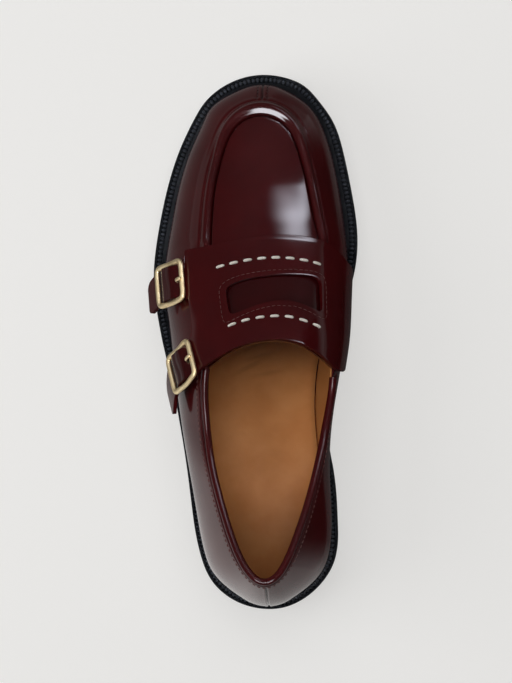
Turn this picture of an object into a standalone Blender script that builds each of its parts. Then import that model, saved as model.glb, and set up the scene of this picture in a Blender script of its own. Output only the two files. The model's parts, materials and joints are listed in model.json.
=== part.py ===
"""Double buckle loafer, the left shoe of a pair, as separate solids.

All sizes below are millimetres in the shoe's own frame: +Y runs to the toe, +Z up from the floor and
+X to the medial side, so the buckles are at -X. Every form is worked out from short tables of
sections along Y. Objects are made in metres, and moved by ORIGIN so that the middle of the whole
shoe's box stands at the world's origin, on the floor.
"""
import math
from collections import namedtuple

import bmesh
import bpy
import numpy as np

MM = 0.001
ORIGIN = (0.19, 0.2)           # middle of the whole shoe's box in X and Y

GAP = 0.3                      # air between two pieces that touch
FACET = 0.6                    # the same above a rounded face, for its flat facets
WALL = 2.0                     # thickness of the upper, leather and lining together
SIDE_COLUMNS = 46              # mesh columns along one side of the upper
SOLE_COLUMNS = 54              # and of the sole's layers

# Sole: a flat under the ball, a spring at the toe and a heel under the seat
SOLE_HEEL, SOLE_TOE = -134.8, 135.2
FLAT_START, FLAT_END = 30.0, 78.0
TOE_SPRING = 8.5
SPRING_POWER = 1.8                 # how late the toe lifts off the floor
SEAT_START, SEAT_HEIGHT = -70.0, 21.0
LIFT_THICK = 7.0
TREAD_THICK = 3.0
OUTSOLE_THICK = 6.0
MIDSOLE_THICK = 5.0
WELT_THICK = 4.0
BREAST = -62.0                 # front face of the heel
HEEL_MIDDLE_Y = -96.0
HEEL_TAPER = 1.6               # how far the heel block draws in towards the lift,
HEEL_REACH = 40                # over this distance from its middle
WELT_WIDTH_INSIDE = 6.5        # welt inwards of the line where the upper meets it
INSOLE_THICK = 2.2             # above the welt
GROOVES = [-6 + 12.0 * i for i in range(10)]
GROOVE_WIDTH, GROOVE_DEPTH = 3.0, 2.0

Width = namedtuple("Width", "y lateral medial")
SOLE_WIDTHS = [
    Width(-131, -8.2, 23.2), Width(-122, -19.6, 34.4), Width(-110, -25.6, 41.4), Width(-92, -29.6, 42.8),
    Width(-70, -32.4, 41.3), Width(-45, -36.4, 37.0), Width(-20, -41.6, 36.2), Width(0, -46.7, 39.5),
    Width(18, -50.2, 46.0), Width(36, -51.4, 51.1), Width(60, -48.3, 52.1), Width(80, -43.9, 48.9),
    Width(100, -37.0, 44.5), Width(115, -29.4, 38.3), Width(125, -21.6, 30.6), Width(131.5, -11.5, 22.5),
]

# Upper: its widest outline, seen from above, with the mouth and the heights of its sections
UPPER_HEEL, UPPER_TOE = -131.5, 129.5
UPPER_WIDTHS = [
    Width(-127, -5.0, 21.2), Width(-118, -16.3, 32.2), Width(-105, -23.1, 38.8), Width(-85, -27.2, 40.1),
    Width(-60, -31.7, 39.2), Width(-35, -36.0, 41.0), Width(-10, -39.8, 45.0), Width(15, -43.4, 47.3),
    Width(36, -44.8, 47.9), Width(60, -41.2, 46.0), Width(80, -37.1, 42.8), Width(98, -31.0, 38.7),
    Width(112, -24.6, 33.3), Width(122, -16.2, 24.5), Width(127, -6.2, 15.8),
]
HEEL_POWER, TOE_POWER = 6.0, 3.3   # how square the two ends are

Ridge = namedtuple("Ridge", "y x z")
RIDGE = [                          # from the throat (y = 2) back it is only the crown the walls aim at
    Ridge(-127, 8.5, 76), Ridge(-115, 8.3, 95), Ridge(-100, 8.0, 91), Ridge(-80, 8.4, 86.5),
    Ridge(-60, 9.2, 84), Ridge(-40, 10.5, 83.5), Ridge(-15, 13.3, 88), Ridge(3, 13.6, 83.8),
    Ridge(25, 10.2, 74), Ridge(45, 7.8, 66.5), Ridge(70, 6.0, 60), Ridge(95, 5.3, 56),
    Ridge(115, 5.2, 52), Ridge(127, 5.2, 40.5),
]

Wall = namedtuple("Wall", "y rise_lateral rise_medial tuck_lateral tuck_medial square_lateral square_medial")
WALLS = [   # rise: welt to widest line; tuck: how far the foot of the wall draws in; square: section's power
    Wall(-131, 14, 14, 3.0, 3.0, 2.3, 2.3), Wall(-100, 14, 14, 2.8, 3.0, 2.3, 2.4),
    Wall(-75, 12.5, 14.5, 2.2, 2.6, 2.3, 3.0), Wall(-55, 12, 17, 2.0, 4.4, 2.3, 4.2),
    Wall(-35, 11, 20, 2.0, 8.0, 2.3, 4.2), Wall(-15, 10, 20, 2.0, 10.2, 2.3, 3.4),
    Wall(3, 9.5, 17, 2.0, 8.8, 2.3, 3.4), Wall(18, 9, 13, 2.0, 5.2, 2.3, 3.2),
    Wall(36, 8.5, 9.5, 2.0, 2.4, 2.4, 3.0), Wall(70, 8.5, 8.5, 2.0, 2.0, 2.6, 2.7),
    Wall(100, 8.5, 8.5, 2.0, 2.0, 2.6, 2.6), Wall(130, 8, 8, 2.0, 2.0, 2.4, 2.4),
]

MOUTH_HEEL = -115.1                # the topline at the back of the heel
MOUTH_HEEL_X = 8.3
Mouth = namedtuple("Mouth", "y lateral medial lateral_z medial_z")
TOPLINE = [
    Mouth(-113.6, 4.0, 12.9, 94.0, 94.0), Mouth(-108, -1.1, 17.7, 92.4, 92.4),
    Mouth(-96, -7.0, 22.9, 88.4, 88.4), Mouth(-80, -12.5, 28.4, 83.2, 83.2),
    Mouth(-60, -17.8, 33.8, 78.0, 77.6), Mouth(-40, -20.4, 37.9, 75.0, 73.6),
    Mouth(-20, -21.2, 41.2, 75.6, 71.6), Mouth(-12.7, -20.5, 41.6, 77.0, 71.0),
]
QUARTER_START, QUARTER_FULL = -42.0, -72.0   # the dome gives way to straighter quarter walls
QUARTER_BEND = 1.55                          # 2 is a round wall, 1 a straight one
THROAT_Y, THROAT_X = 1.7, 13.5     # top of the throat's arch, and its two corners
THROAT_DROP = 14.4
THROAT_POWER = 2.1                 # 2 is a parabola
THROAT_LATERAL, THROAT_MEDIAL = -20.5, 41.6
JOIN = -15.0                       # where the widest line leaves the topline for the throat

# Saddle: the proud strap over the instep; turn -1 is the lateral widest line, 0 the ridge, +1 the
# medial widest line and +2 the welt
SADDLE_THICK = 2.0
SADDLE_GAP = 0.5               # a little over GAP, for the flat facets of both
Band = namedtuple("Band", "y rear front")
SADDLE_EDGES = [                   # here y holds the turn
    Band(-0.54, -16.5, 45.0), Band(-0.44, -12.2, 46.2), Band(-0.30, -5.2, 48.6), Band(-0.15, -0.3, 51.0),
    Band(0.0, 1.5, 52.6), Band(0.15, 0.8, 52.9), Band(0.30, -2.0, 52.2), Band(0.45, -6.0, 50.4),
    Band(0.60, -10.6, 46.4), Band(0.76, -13.6, 40.6), Band(1.0, -13.0, 36.0), Band(1.95, -6.0, 30.0),
]
LATERAL_DEPTHS = (0.0, 0.16, 0.32, 0.6, 1.0)     # the lateral edge, where the two straps begin,
LATERAL_TURNS = (-0.43, -0.505, -0.51, -0.495, -0.51)   # as a turn over the depth
SADDLE_END = 1.8
SLOT_LATERAL, SLOT_MEDIAL = -0.27, 0.47     # the slot, in turns
SLOT_REAR, SLOT_FRONT = 0.32, 0.64          # and as parts of the saddle's depth

# Buckles and straps, in a frame of their own: s along the strap and down the side, b across, n out
Fastening = namedtuple("Fastening", "name centre along across root tip sway curl")
FASTENINGS = [                     # sway and curl: how far the tip is carried along b and n
    Fastening("front", (-40.5, 28.8, 55.7), (-0.664, -0.243, -0.708), (0.091, -0.966, 0.245),
              -11.3, 18.65, 3.4, -0.6),
    Fastening("rear", (-33.5, -12.5, 70.4), (-0.546, -0.525, -0.652), (0.240, -0.848, 0.478),
              -9.7, 20.5, 7.6, -6.5),
]
STRAP_HALF = 8.2
STRAP_CORNER = 3.2             # radius of the two corners of a strap's tip
TAIL_BEND = 1.4                # how late the tip bends away from the strap
STRAP_THICK = 1.8
BUCKLE_HALF_LONG, BUCKLE_HALF_WIDE = 9.0, 10.3
BUCKLE_POINTS = 32
BUCKLE_POWER = 0.42                # 1 is an oval frame, 0 a square one
BUCKLE_WIRE = 1.25
RAIL_DIP, RAIL_DIP_HALF = 2.7, 7.0 # how the side rails sink towards the centre bar
BAR_WIRE = 0.9
BAR_DROP = -2.0                    # n of the centre bar
FRAME_LIFT = 1.0                   # n of the two outer bars
PRONG_WIRE = 0.55
CHAPE_HALF = 6.2
CHAPE_THICK = 1.0
CHAPE_TAIL = 13.0
PRONG_SLOT_HALF = 1.3
HOLE_START, HOLE_END = -6.6, -3.5  # the strap's hole for the prong, along s


# ---------------------------------------------------------------- numbers

def spline(rows, column):
    """Natural cubic spline of one column of a table over its y column, held level past both ends."""
    at = np.array([row.y for row in rows], float)
    value = np.array([getattr(row, column) for row in rows], float)
    step = np.diff(at)
    count = len(at)
    matrix = np.eye(count)
    bend = np.zeros(count)
    for i in range(1, count - 1):
        matrix[i, i - 1:i + 2] = step[i - 1], 2 * (step[i - 1] + step[i]), step[i]
        bend[i] = 6 * ((value[i + 1] - value[i]) / step[i] - (value[i] - value[i - 1]) / step[i - 1])
    curve = np.linalg.solve(matrix, bend)

    def evaluate(y):
        y = np.clip(y, at[0], at[-1])
        i = np.clip(np.searchsorted(at, y, side="right") - 1, 0, count - 2)
        before, after, width = y - at[i], at[i + 1] - y, step[i]
        return ((curve[i] * after ** 3 + curve[i + 1] * before ** 3) / (6 * width)
                + (value[i] / width - curve[i] * width / 6) * after
                + (value[i + 1] / width - curve[i + 1] * width / 6) * before)
    return evaluate


def ease(value):
    """Smooth step from 0 to 1."""
    value = np.clip(value, 0, 1)
    return value * value * (3 - 2 * value)


def unit(vector):
    return np.asarray(vector, float) / np.linalg.norm(vector)


axis = spline(RIDGE, "x")


class Outline:
    """A closed outline seen from above: two sides from a width table, closed by superellipse ends."""

    def __init__(self, rows, heel, toe):
        self.middle, self.half = (heel + toe) / 2, (toe - heel) / 2
        self.sides = {}
        for side, column in ((-1, "lateral"), (1, "medial")):
            scaled = [Ridge(row.y, (getattr(row, column) - axis(row.y)) / self.full(row.y), 0)
                      for row in rows]
            self.sides[side] = spline(scaled, "x")

    def full(self, y):
        """1 along the shoe's middle, falling to 0 at the two tips like a superellipse."""
        place = (y - self.middle) / self.half
        power = np.where(place < 0, HEEL_POWER, TOE_POWER)
        return np.sqrt(np.clip(1 - np.abs(place) ** power, 0, 1))

    def edge(self, y, side):
        return axis(y) + self.sides[side](y) * self.full(y)

    def loop(self, stations):
        """Lateral side from heel to toe, then the medial side back, as an array of (x, y)."""
        lateral = np.column_stack([self.edge(stations, -1), stations])
        medial = np.column_stack([self.edge(stations, 1), stations])
        return np.vstack([lateral, medial[::-1]])

    def stations(self, count):
        """Y values that crowd towards the tips, so the ends stay round."""
        return self.middle - self.half * np.cos((np.arange(count) + 0.5) * math.pi / count)


sole_outline = Outline(SOLE_WIDTHS, SOLE_HEEL, SOLE_TOE)
upper_outline = Outline(UPPER_WIDTHS, UPPER_HEEL, UPPER_TOE)


def outward(loop):
    """Unit normals, in plan, of a closed loop that runs clockwise."""
    tangent = np.roll(loop, -1, axis=0) - np.roll(loop, 1, axis=0)
    normal = np.column_stack([-tangent[:, 1], tangent[:, 0]])
    return normal / np.linalg.norm(normal, axis=1)[:, None]


def inset(loop, distance):
    return loop - outward(loop) * np.reshape(distance, (-1, 1))


# ---------------------------------------------------------------- heights of the sole

def tread(y):
    """Underside of the outsole: level under the ball, up at the toe, up through the waist to the seat."""
    toe = TOE_SPRING * np.clip((y - FLAT_END) / (SOLE_TOE - FLAT_END), 0, 1) ** SPRING_POWER
    return toe + SEAT_HEIGHT * seat(y)


def seat(y):
    """0 at the ball and 1 at the heel seat."""
    return ease((FLAT_START - y) / (FLAT_START - SEAT_START))


def outsole_top(y):
    return tread(y) + OUTSOLE_THICK + TREAD_THICK * (1 - seat(y))


def welt_top(y):
    return outsole_top(y) + MIDSOLE_THICK + WELT_THICK


def feather(y):
    """Where the upper meets the welt."""
    return welt_top(y) + GAP


# ---------------------------------------------------------------- the upper's surface

wall = {column: spline(WALLS, column) for column in Wall._fields[1:]}


def widest_height(y, side):
    rise = np.where(side < 0, wall["rise_lateral"](y), wall["rise_medial"](y))
    return feather(y) + rise


def tuck(y, side):
    return np.where(side < 0, wall["tuck_lateral"](y), wall["tuck_medial"](y))


def middle_height(y):
    return (widest_height(y, -1) + widest_height(y, 1)) / 2


crown = spline([Ridge(row.y, (row.z - middle_height(row.y)) / upper_outline.full(row.y), 0)
                for row in RIDGE], "x")


def dome(x, y):
    """Height of the upper's outer face above its widest line.

    Across the shoe it is a superellipse from the widest line to the ridge, and along the shoe both the
    width and the ridge fall to nothing at the tips.
    """
    side = np.where(x < axis(y), -1, 1)
    edge = np.where(side < 0, upper_outline.edge(y, -1), upper_outline.edge(y, 1))
    reach = np.clip(np.abs((x - axis(y)) / (edge - axis(y))), 0, 1)
    power = np.where(side < 0, wall["square_lateral"](y), wall["square_medial"](y))
    ridge = middle_height(y) + crown(y) * upper_outline.full(y)
    low = widest_height(y, side)
    return low + (ridge - low) * np.sqrt(1 - reach ** power)


def throat(x):
    """The throat's arch: y of its edge over x."""
    half = np.where(x < THROAT_X, THROAT_X - THROAT_LATERAL, THROAT_MEDIAL - THROAT_X)
    return THROAT_Y - THROAT_DROP * np.abs((x - THROAT_X) / half) ** THROAT_POWER


mouth_sides = {
    side: spline([Ridge(row.y, (getattr(row, column) - MOUTH_HEEL_X) / math.sqrt(row.y - MOUTH_HEEL), 0)
                  for row in TOPLINE], "x")
    for side, column in ((-1, "lateral"), (1, "medial"))
}


mouth_height = {-1: spline(TOPLINE, "lateral_z"), 1: spline(TOPLINE, "medial_z")}


def mouth_point(y, side):
    """The point of the mouth that belongs to the point of the widest line at y."""
    if y < JOIN:
        along = MOUTH_HEEL + (TOPLINE[-1].y - MOUTH_HEEL) * (y - UPPER_HEEL) / (JOIN - UPPER_HEEL)
        return MOUTH_HEEL_X + mouth_sides[side](along) * math.sqrt(along - MOUTH_HEEL), along
    corner = THROAT_LATERAL if side < 0 else THROAT_MEDIAL
    x = corner + (THROAT_X - corner) * ((y - JOIN) / (UPPER_TOE - JOIN)) ** 0.8
    return x, float(throat(x))


def upper_loops():
    """Loops of the upper's outer face from the welt up to the mouth, as an array (rows, columns, 3)."""
    stations = upper_outline.stations(SIDE_COLUMNS)
    widest = upper_outline.loop(stations)
    side = np.repeat([-1, 1], SIDE_COLUMNS)
    y = widest[:, 1]
    foot = feather(y)
    top = widest_height(y, side)
    loops = []
    for part in (0.0, 0.35, 0.7):
        plan = inset(widest, tuck(y, side) * (1 - part) ** 2)
        loops.append(np.column_stack([plan, foot + (top - foot) * part]))
    mouth = np.array([mouth_point(a, b) for a, b in zip(y, side)])
    rim = np.where(side < 0, mouth_height[-1](mouth[:, 1]), mouth_height[1](mouth[:, 1]))
    for part in np.linspace(0, 1, 12) ** 1.8:
        plan = widest + (mouth - widest) * part
        quarter = ease((QUARTER_START - plan[:, 1]) / (QUARTER_START - QUARTER_FULL))
        straight = top + (rim - top) * part ** (1 / QUARTER_BEND)
        level = dome(plan[:, 0], plan[:, 1]) * (1 - quarter) + straight * quarter
        loops.append(np.column_stack([plan, level]))
    return np.array(loops)


def grid_normals(grid, closed):
    """Outward unit normals of a grid of points, from its differences; columns wrap round when closed."""
    down = np.gradient(grid, axis=0)
    if closed:
        across = np.roll(grid, -1, axis=1) - np.roll(grid, 1, axis=1)
    else:
        across = np.gradient(grid, axis=1)
    normal = np.cross(down, across)
    return normal / np.linalg.norm(normal, axis=2)[:, :, None]


# ---------------------------------------------------------------- meshes

def material(name, colour, roughness, metallic=0.0):
    """A plain Principled material, made once."""
    found = bpy.data.materials.get(name)
    if found:
        return found
    made = bpy.data.materials.new(name)
    made.use_nodes = True
    shader = made.node_tree.nodes["Principled BSDF"]
    shader.inputs["Base Color"].default_value = (*colour, 1)
    shader.inputs["Roughness"].default_value = roughness
    shader.inputs["Metallic"].default_value = metallic
    return made


def burgundy():
    return material("burgundy_leather", (0.055, 0.008, 0.010), 0.22)


def black_rubber():
    return material("black_rubber", (0.018, 0.020, 0.024), 0.6)


def sole_edge():
    return material("black_sole_edge", (0.018, 0.020, 0.025), 0.45)


def tan_leather():
    return material("tan_leather", (0.30, 0.13, 0.05), 0.6)


def gold():
    return material("polished_gold", (0.83, 0.62, 0.36), 0.18, 1.0)


def add_piece(name, points, faces, finish):
    """One closed solid from points in millimetres, with its faces turned outwards."""
    mesh = bpy.data.meshes.new(name)
    moved = (np.asarray(points) - (*ORIGIN, 0)) * MM
    mesh.from_pydata(moved.tolist(), [], faces)
    work = bmesh.new()
    work.from_mesh(mesh)
    bmesh.ops.recalc_face_normals(work, faces=work.faces)
    work.to_mesh(mesh)
    work.free()
    mesh.shade_smooth()
    mesh.set_sharp_from_angle(angle=math.radians(40))
    mesh.materials.append(finish)
    piece = bpy.data.objects.new(name, mesh)
    bpy.context.collection.objects.link(piece)
    return piece


def band_faces(low, high, count):
    """Quads between two closed loops whose first points are numbered low and high."""
    return [(low + i, low + (i + 1) % count, high + (i + 1) % count, high + i) for i in range(count)]


def strip_faces(start, count):
    """Quads that close a loop of a lateral and a medial side, straight across."""
    return [(start + i, start + i + 1, start + count - 2 - i, start + count - 1 - i)
            for i in range(count // 2 - 1)]


def stack_solid(name, loops, finish):
    """A solid through a stack of loops, closed across the first and the last one."""
    count = len(loops[0])
    faces = []
    for i in range(len(loops) - 1):
        faces += band_faces(i * count, (i + 1) * count, count)
    faces += strip_faces(0, count) + strip_faces((len(loops) - 1) * count, count)
    return add_piece(name, np.vstack(loops), faces, finish)


def ring_solid(name, loops, finish):
    """A ring-shaped solid: the last loop joins the first one."""
    count = len(loops[0])
    faces = []
    for i in range(len(loops)):
        faces += band_faces(i * count, (i + 1) % len(loops) * count, count)
    return add_piece(name, np.vstack(loops), faces, finish)


def sheet_solid(name, lower, upper, kept, finish):
    """A sheet between two grids of points, less the cells that are not kept."""
    rows, columns = lower.shape[:2]
    number = np.arange(rows * columns).reshape(rows, columns)
    lift = rows * columns
    faces = []
    edges = {}
    for i, j in zip(*np.nonzero(kept)):
        cell = (number[i, j], number[i + 1, j], number[i + 1, j + 1], number[i, j + 1])
        faces += [tuple(int(n) for n in cell[::-1]), tuple(int(n) + lift for n in cell)]
        for k in range(4):
            edge = (int(cell[k]), int(cell[(k + 1) % 4]))
            if edge[::-1] in edges:
                del edges[edge[::-1]]
            else:
                edges[edge] = True
    faces += [(a, b, b + lift, a + lift) for a, b in edges]
    used = sorted({n for face in faces for n in face})
    again = {n: k for k, n in enumerate(used)}
    points = np.vstack([lower.reshape(-1, 3), upper.reshape(-1, 3)])[used]
    return add_piece(name, points, [tuple(again[n] for n in face) for face in faces], finish)


def tube(name, path, radius, sides, finish, closed=False, up=(0, 0, 1)):
    """A round tube along a path of points; radius may be one value or one for each point."""
    path = np.asarray(path, float)
    radius = np.broadcast_to(radius, len(path))
    if closed:
        tangent = np.roll(path, -1, axis=0) - np.roll(path, 1, axis=0)
    else:
        tangent = np.gradient(path, axis=0)
    tangent /= np.linalg.norm(tangent, axis=1)[:, None]
    side = np.cross(tangent, up)
    side /= np.linalg.norm(side, axis=1)[:, None]
    over = np.cross(side, tangent)
    angle = np.arange(sides) * 2 * math.pi / sides
    rings = (path[:, None] + radius[:, None, None]
             * (side[:, None] * np.cos(angle)[:, None] + over[:, None] * np.sin(angle)[:, None]))
    count = len(path)
    faces = []
    for i in range(count if closed else count - 1):
        faces += band_faces(i * sides, (i + 1) % count * sides, sides)
    if not closed:
        faces += [tuple(range(sides)), tuple(range((count - 1) * sides, count * sides))]
    return add_piece(name, rings.reshape(-1, 3), faces, finish)


# ---------------------------------------------------------------- the sole

def lift_loop(plan, height):
    """A plan loop at a height, which may be a function of y."""
    level = height(plan[:, 1]) if callable(height) else np.full(len(plan), float(height))
    return np.column_stack([plan, level])


def groove_stations():
    """Stations of the outsole, with a close pair at each wall of each groove."""
    walls = []
    for y in GROOVES:
        walls += [y - 0.25, y, y + GROOVE_WIDTH, y + GROOVE_WIDTH + 0.25]
    smooth = [y for y in sole_outline.stations(SOLE_COLUMNS) if min(abs(y - w) for w in walls) > 1.2]
    return np.array(sorted(smooth + walls))


def grooved_tread(y):
    cut = np.zeros(len(y))
    for start in GROOVES:
        cut[(y > start - 0.1) & (y < start + GROOVE_WIDTH + 0.1)] = GROOVE_DEPTH
    return tread(y) + cut


def make_sole():
    stations = sole_outline.stations(SOLE_COLUMNS)
    edge = sole_outline.loop(stations)
    grooved = sole_outline.loop(groove_stations())
    stack_solid("outsole", [
        lift_loop(grooved, grooved_tread), lift_loop(grooved, outsole_top)], black_rubber())
    stack_solid("midsole", [
        lift_loop(inset(edge, 0.8), lambda y: outsole_top(y) + GAP),
        lift_loop(inset(edge, 0.8), lambda y: outsole_top(y) + MIDSOLE_THICK)], sole_edge())

    widest = upper_outline.loop(upper_outline.stations(SOLE_COLUMNS))
    side = np.repeat([-1, 1], SOLE_COLUMNS)
    foot = inset(widest, tuck(widest[:, 1], side))
    hole = inset(foot, WELT_WIDTH_INSIDE)
    ring_solid("welt", [
        lift_loop(edge, lambda y: welt_top(y) - WELT_THICK + GAP), lift_loop(edge, welt_top),
        lift_loop(hole, welt_top), lift_loop(hole, lambda y: welt_top(y) - WELT_THICK + GAP)], sole_edge())

    core = inset(foot, WELT_WIDTH_INSIDE + GAP + 0.1)
    bed = inset(foot, WALL + 2 * GAP)
    stack_solid("insole", [
        lift_loop(core, lambda y: welt_top(y) - WELT_THICK + GAP),
        lift_loop(core, lambda y: welt_top(y) + GAP),
        lift_loop(bed, lambda y: welt_top(y) + GAP),
        lift_loop(bed, lambda y: welt_top(y) + INSOLE_THICK)], tan_leather())


def make_heel():
    """The heel block under the seat, drawn in towards a lift that stands on the floor."""
    reach = sole_outline.stations(SOLE_COLUMNS)
    stations = np.append(reach[reach < BREAST - 2], BREAST)
    outline = sole_outline.loop(stations)
    middle = np.array([axis(-90.0), HEEL_MIDDLE_Y])
    low = middle + (outline - middle) * (1 - HEEL_TAPER / HEEL_REACH)
    stack_solid("heel_block", [
        lift_loop(low, LIFT_THICK + GAP), lift_loop(outline, lambda y: tread(y) - GAP)], sole_edge())
    stack_solid("top_lift", [lift_loop(low, 0.0), lift_loop(low, LIFT_THICK)], black_rubber())


# ---------------------------------------------------------------- the upper and its saddle

def make_upper():
    outer = upper_loops()
    inner = outer - grid_normals(outer, True) * WALL
    inner[0, :, 2] = outer[0, :, 2]
    ring_solid("upper", list(outer) + list(inner[::-1]), burgundy())


saddle_rear = spline(SADDLE_EDGES, "rear")
saddle_front = spline(SADDLE_EDGES, "front")


def skin(turn, y):
    """A point of the upper's outer face over a turn and a station.

    From -1 to 1 the turn goes over the dome from the lateral to the medial widest line, and from 1 to 2
    down the medial wall to the welt.
    """
    over = np.clip(turn, -1, 1)
    side = np.where(over < 0, -1, 1)
    edge = np.where(side < 0, upper_outline.edge(y, -1), upper_outline.edge(y, 1))
    x = axis(y) + (edge - axis(y)) * np.abs(np.sin(over * math.pi / 2))
    top = np.column_stack([x, y, dome(x, y)])
    part = np.clip(2 - turn, 0, 1)
    slope = (upper_outline.edge(y + 0.5, 1) - upper_outline.edge(y - 0.5, 1))
    normal = np.column_stack([np.ones_like(slope), -slope]) / np.sqrt(1 + slope ** 2)[:, None]
    drawn = tuck(y, 1) * (1 - part) ** 2
    low = np.column_stack([
        upper_outline.edge(y, 1) - normal[:, 0] * drawn, y - normal[:, 1] * drawn,
        feather(y) + (widest_height(y, 1) - feather(y)) * part])
    return np.where((turn > 1)[:, None], low, top)


def saddle_grid(turns, depths):
    """Points of the upper's face under the saddle; the lateral edge leans with the depth."""
    grid = []
    for turn in turns:
        column = []
        for depth in depths:
            edge = float(np.interp(depth, LATERAL_DEPTHS, LATERAL_TURNS))
            part = (turn - turns[0]) / (SLOT_LATERAL - turns[0])
            here = turn if part > 1 else edge + (SLOT_LATERAL - edge) * part
            y = saddle_rear(here) + (saddle_front(here) - saddle_rear(here)) * depth
            column.append((here, y))
        grid.append(column)
    flat = np.array(grid).reshape(-1, 2)
    return skin(flat[:, 0], flat[:, 1]).reshape(len(turns), len(depths), 3)


def make_saddle():
    turns = np.concatenate([
        np.linspace(LATERAL_TURNS[-1], SLOT_LATERAL, 4), np.linspace(SLOT_LATERAL, SLOT_MEDIAL, 9)[1:],
        np.linspace(SLOT_MEDIAL, 1.0, 8)[1:], np.linspace(1.0, SADDLE_END, 5)[1:]])
    depths = np.array([0, 0.16, SLOT_REAR, 0.48, SLOT_FRONT, 0.82, 1.0])
    grid = saddle_grid(turns, depths)
    normal = grid_normals(grid, False)
    kept = np.ones((len(turns) - 1, len(depths) - 1), bool)
    slot_rows = (turns[:-1] > SLOT_LATERAL - 0.01) & (turns[1:] < SLOT_MEDIAL + 0.01)
    slot_columns = (depths[:-1] > SLOT_REAR - 0.01) & (depths[1:] < SLOT_FRONT + 0.01)
    kept[np.ix_(slot_rows, slot_columns)] = False
    sheet_solid("saddle", grid + normal * SADDLE_GAP, grid + normal * (SADDLE_GAP + SADDLE_THICK), kept,
                burgundy())


# ---------------------------------------------------------------- straps and buckles

class Place:
    """The frame of one fastening: s along the strap, b across it, n away from the shoe."""

    def __init__(self, fastening):
        self.centre = np.array(fastening.centre)
        self.s = unit(fastening.along)
        across = np.array(fastening.across)
        self.b = unit(across - self.s * (across @ self.s))
        self.n = np.cross(self.s, self.b)

    def point(self, s, b, n):
        return self.centre + self.s * s + self.b * b + self.n * n

    def skin_level(self, s, b):
        """n of the upper's outer face under a point of the strap, found by halving."""
        low, high = -40.0, 12.0
        for _ in range(40):
            middle = (low + high) / 2
            x, y, z = self.point(s, b, middle)
            outside = x < upper_outline.edge(y, -1) or z > dome(x, y)
            low, high = (low, middle) if outside else (middle, high)
        return high


def strap_level(s, root_level, root):
    """n of the strap's middle: up from the saddle, under one bar, over the centre bar, under the other."""
    under = FRAME_LIFT - BUCKLE_WIRE - GAP - STRAP_THICK / 2
    over = BAR_DROP + BAR_WIRE + 2 * GAP + CHAPE_THICK + STRAP_THICK / 2
    wave = under + (over - under) * (0.5 + 0.5 * np.cos(np.clip(s / BUCKLE_HALF_LONG, -1, 1) * math.pi))
    if s < -BUCKLE_HALF_LONG:
        return under + (root_level - under) * ease((-BUCKLE_HALF_LONG - s) / (-BUCKLE_HALF_LONG - root))
    return wave


def tail_bend(fastening, place, s):
    """What carries the strap's end past the buckle along b and n, kept clear of the upper's face."""
    share = np.clip((s - BUCKLE_HALF_LONG) / (fastening.tip - BUCKLE_HALF_LONG), 0, 1) ** TAIL_BEND
    sway, curl = fastening.sway * share, fastening.curl * share
    if share > 0:
        under = FRAME_LIFT - BUCKLE_WIRE - GAP - STRAP_THICK / 2
        face = max(place.skin_level(s, b + sway) for b in (-STRAP_HALF, 0, STRAP_HALF))
        curl = max(curl, min(face + FACET + STRAP_THICK / 2 - under, 0))
    return sway, curl


def make_strap(fastening, place):
    """A flat leather strap with a square end, its corners rounded, and a hole for the prong."""
    root, tip = fastening.root, fastening.tip
    root_skin = max(place.skin_level(root, b) for b in (-STRAP_HALF, 0, STRAP_HALF))
    root_level = root_skin + FACET + STRAP_THICK / 2
    along = np.concatenate([
        np.linspace(root, -BUCKLE_HALF_LONG, 3), [HOLE_START, HOLE_END, -1.7, 0, 2.5, 5.0, 7.0],
        np.linspace(BUCKLE_HALF_LONG, tip - STRAP_CORNER, 4),
        tip - STRAP_CORNER * (1 - np.sin(np.linspace(0.25, 1, 4) * math.pi / 2))])
    along = np.unique(np.round(along, 3))
    across = np.array([-STRAP_HALF, -PRONG_SLOT_HALF, PRONG_SLOT_HALF, STRAP_HALF])
    middle = np.zeros((len(along), len(across), 3))
    for i, s in enumerate(along):
        past = np.clip(s - (tip - STRAP_CORNER), 0, STRAP_CORNER)
        half = STRAP_HALF - STRAP_CORNER + math.sqrt(STRAP_CORNER ** 2 - past ** 2)
        sway, curl = tail_bend(fastening, place, s)
        for j, b in enumerate(across):
            width = np.clip(b, -half, half) + sway
            middle[i, j] = place.point(s, width, strap_level(s, root_level, root) + curl)
    kept = np.ones((len(along) - 1, len(across) - 1), bool)
    kept[list(along).index(HOLE_START), 1] = False
    thick = place.n * STRAP_THICK / 2
    sheet_solid(fastening.name + "_strap", middle - thick, middle + thick, kept, burgundy())


def make_buckle(fastening, place):
    """A rounded frame, a superellipse seen from the front, whose side rails dip to hold a centre bar."""
    path = []
    for angle in np.arange(BUCKLE_POINTS) * 2 * math.pi / BUCKLE_POINTS:
        s = BUCKLE_HALF_LONG * math.copysign(abs(math.cos(angle)) ** BUCKLE_POWER, math.cos(angle))
        b = BUCKLE_HALF_WIDE * math.copysign(abs(math.sin(angle)) ** BUCKLE_POWER, math.sin(angle))
        middle = ease(1 - abs(s) / RAIL_DIP_HALF) * (abs(b) / BUCKLE_HALF_WIDE) ** 4
        path.append(place.point(s, b, FRAME_LIFT - RAIL_DIP * middle))
    frame = tube(fastening.name + "_buckle", path, BUCKLE_WIRE, 8, gold(), closed=True, up=place.n)
    ends = [place.point(0, b, BAR_DROP) for b in (-BUCKLE_HALF_WIDE, 0, BUCKLE_HALF_WIDE)]
    bar = tube(fastening.name + "_bar", ends, BAR_WIRE, 8, gold(), up=place.n)
    bar.hide_render = True
    bar.display_type = "WIRE"
    union = frame.modifiers.new("centre_bar", "BOOLEAN")
    union.operation = "UNION"
    union.object = bar


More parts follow.
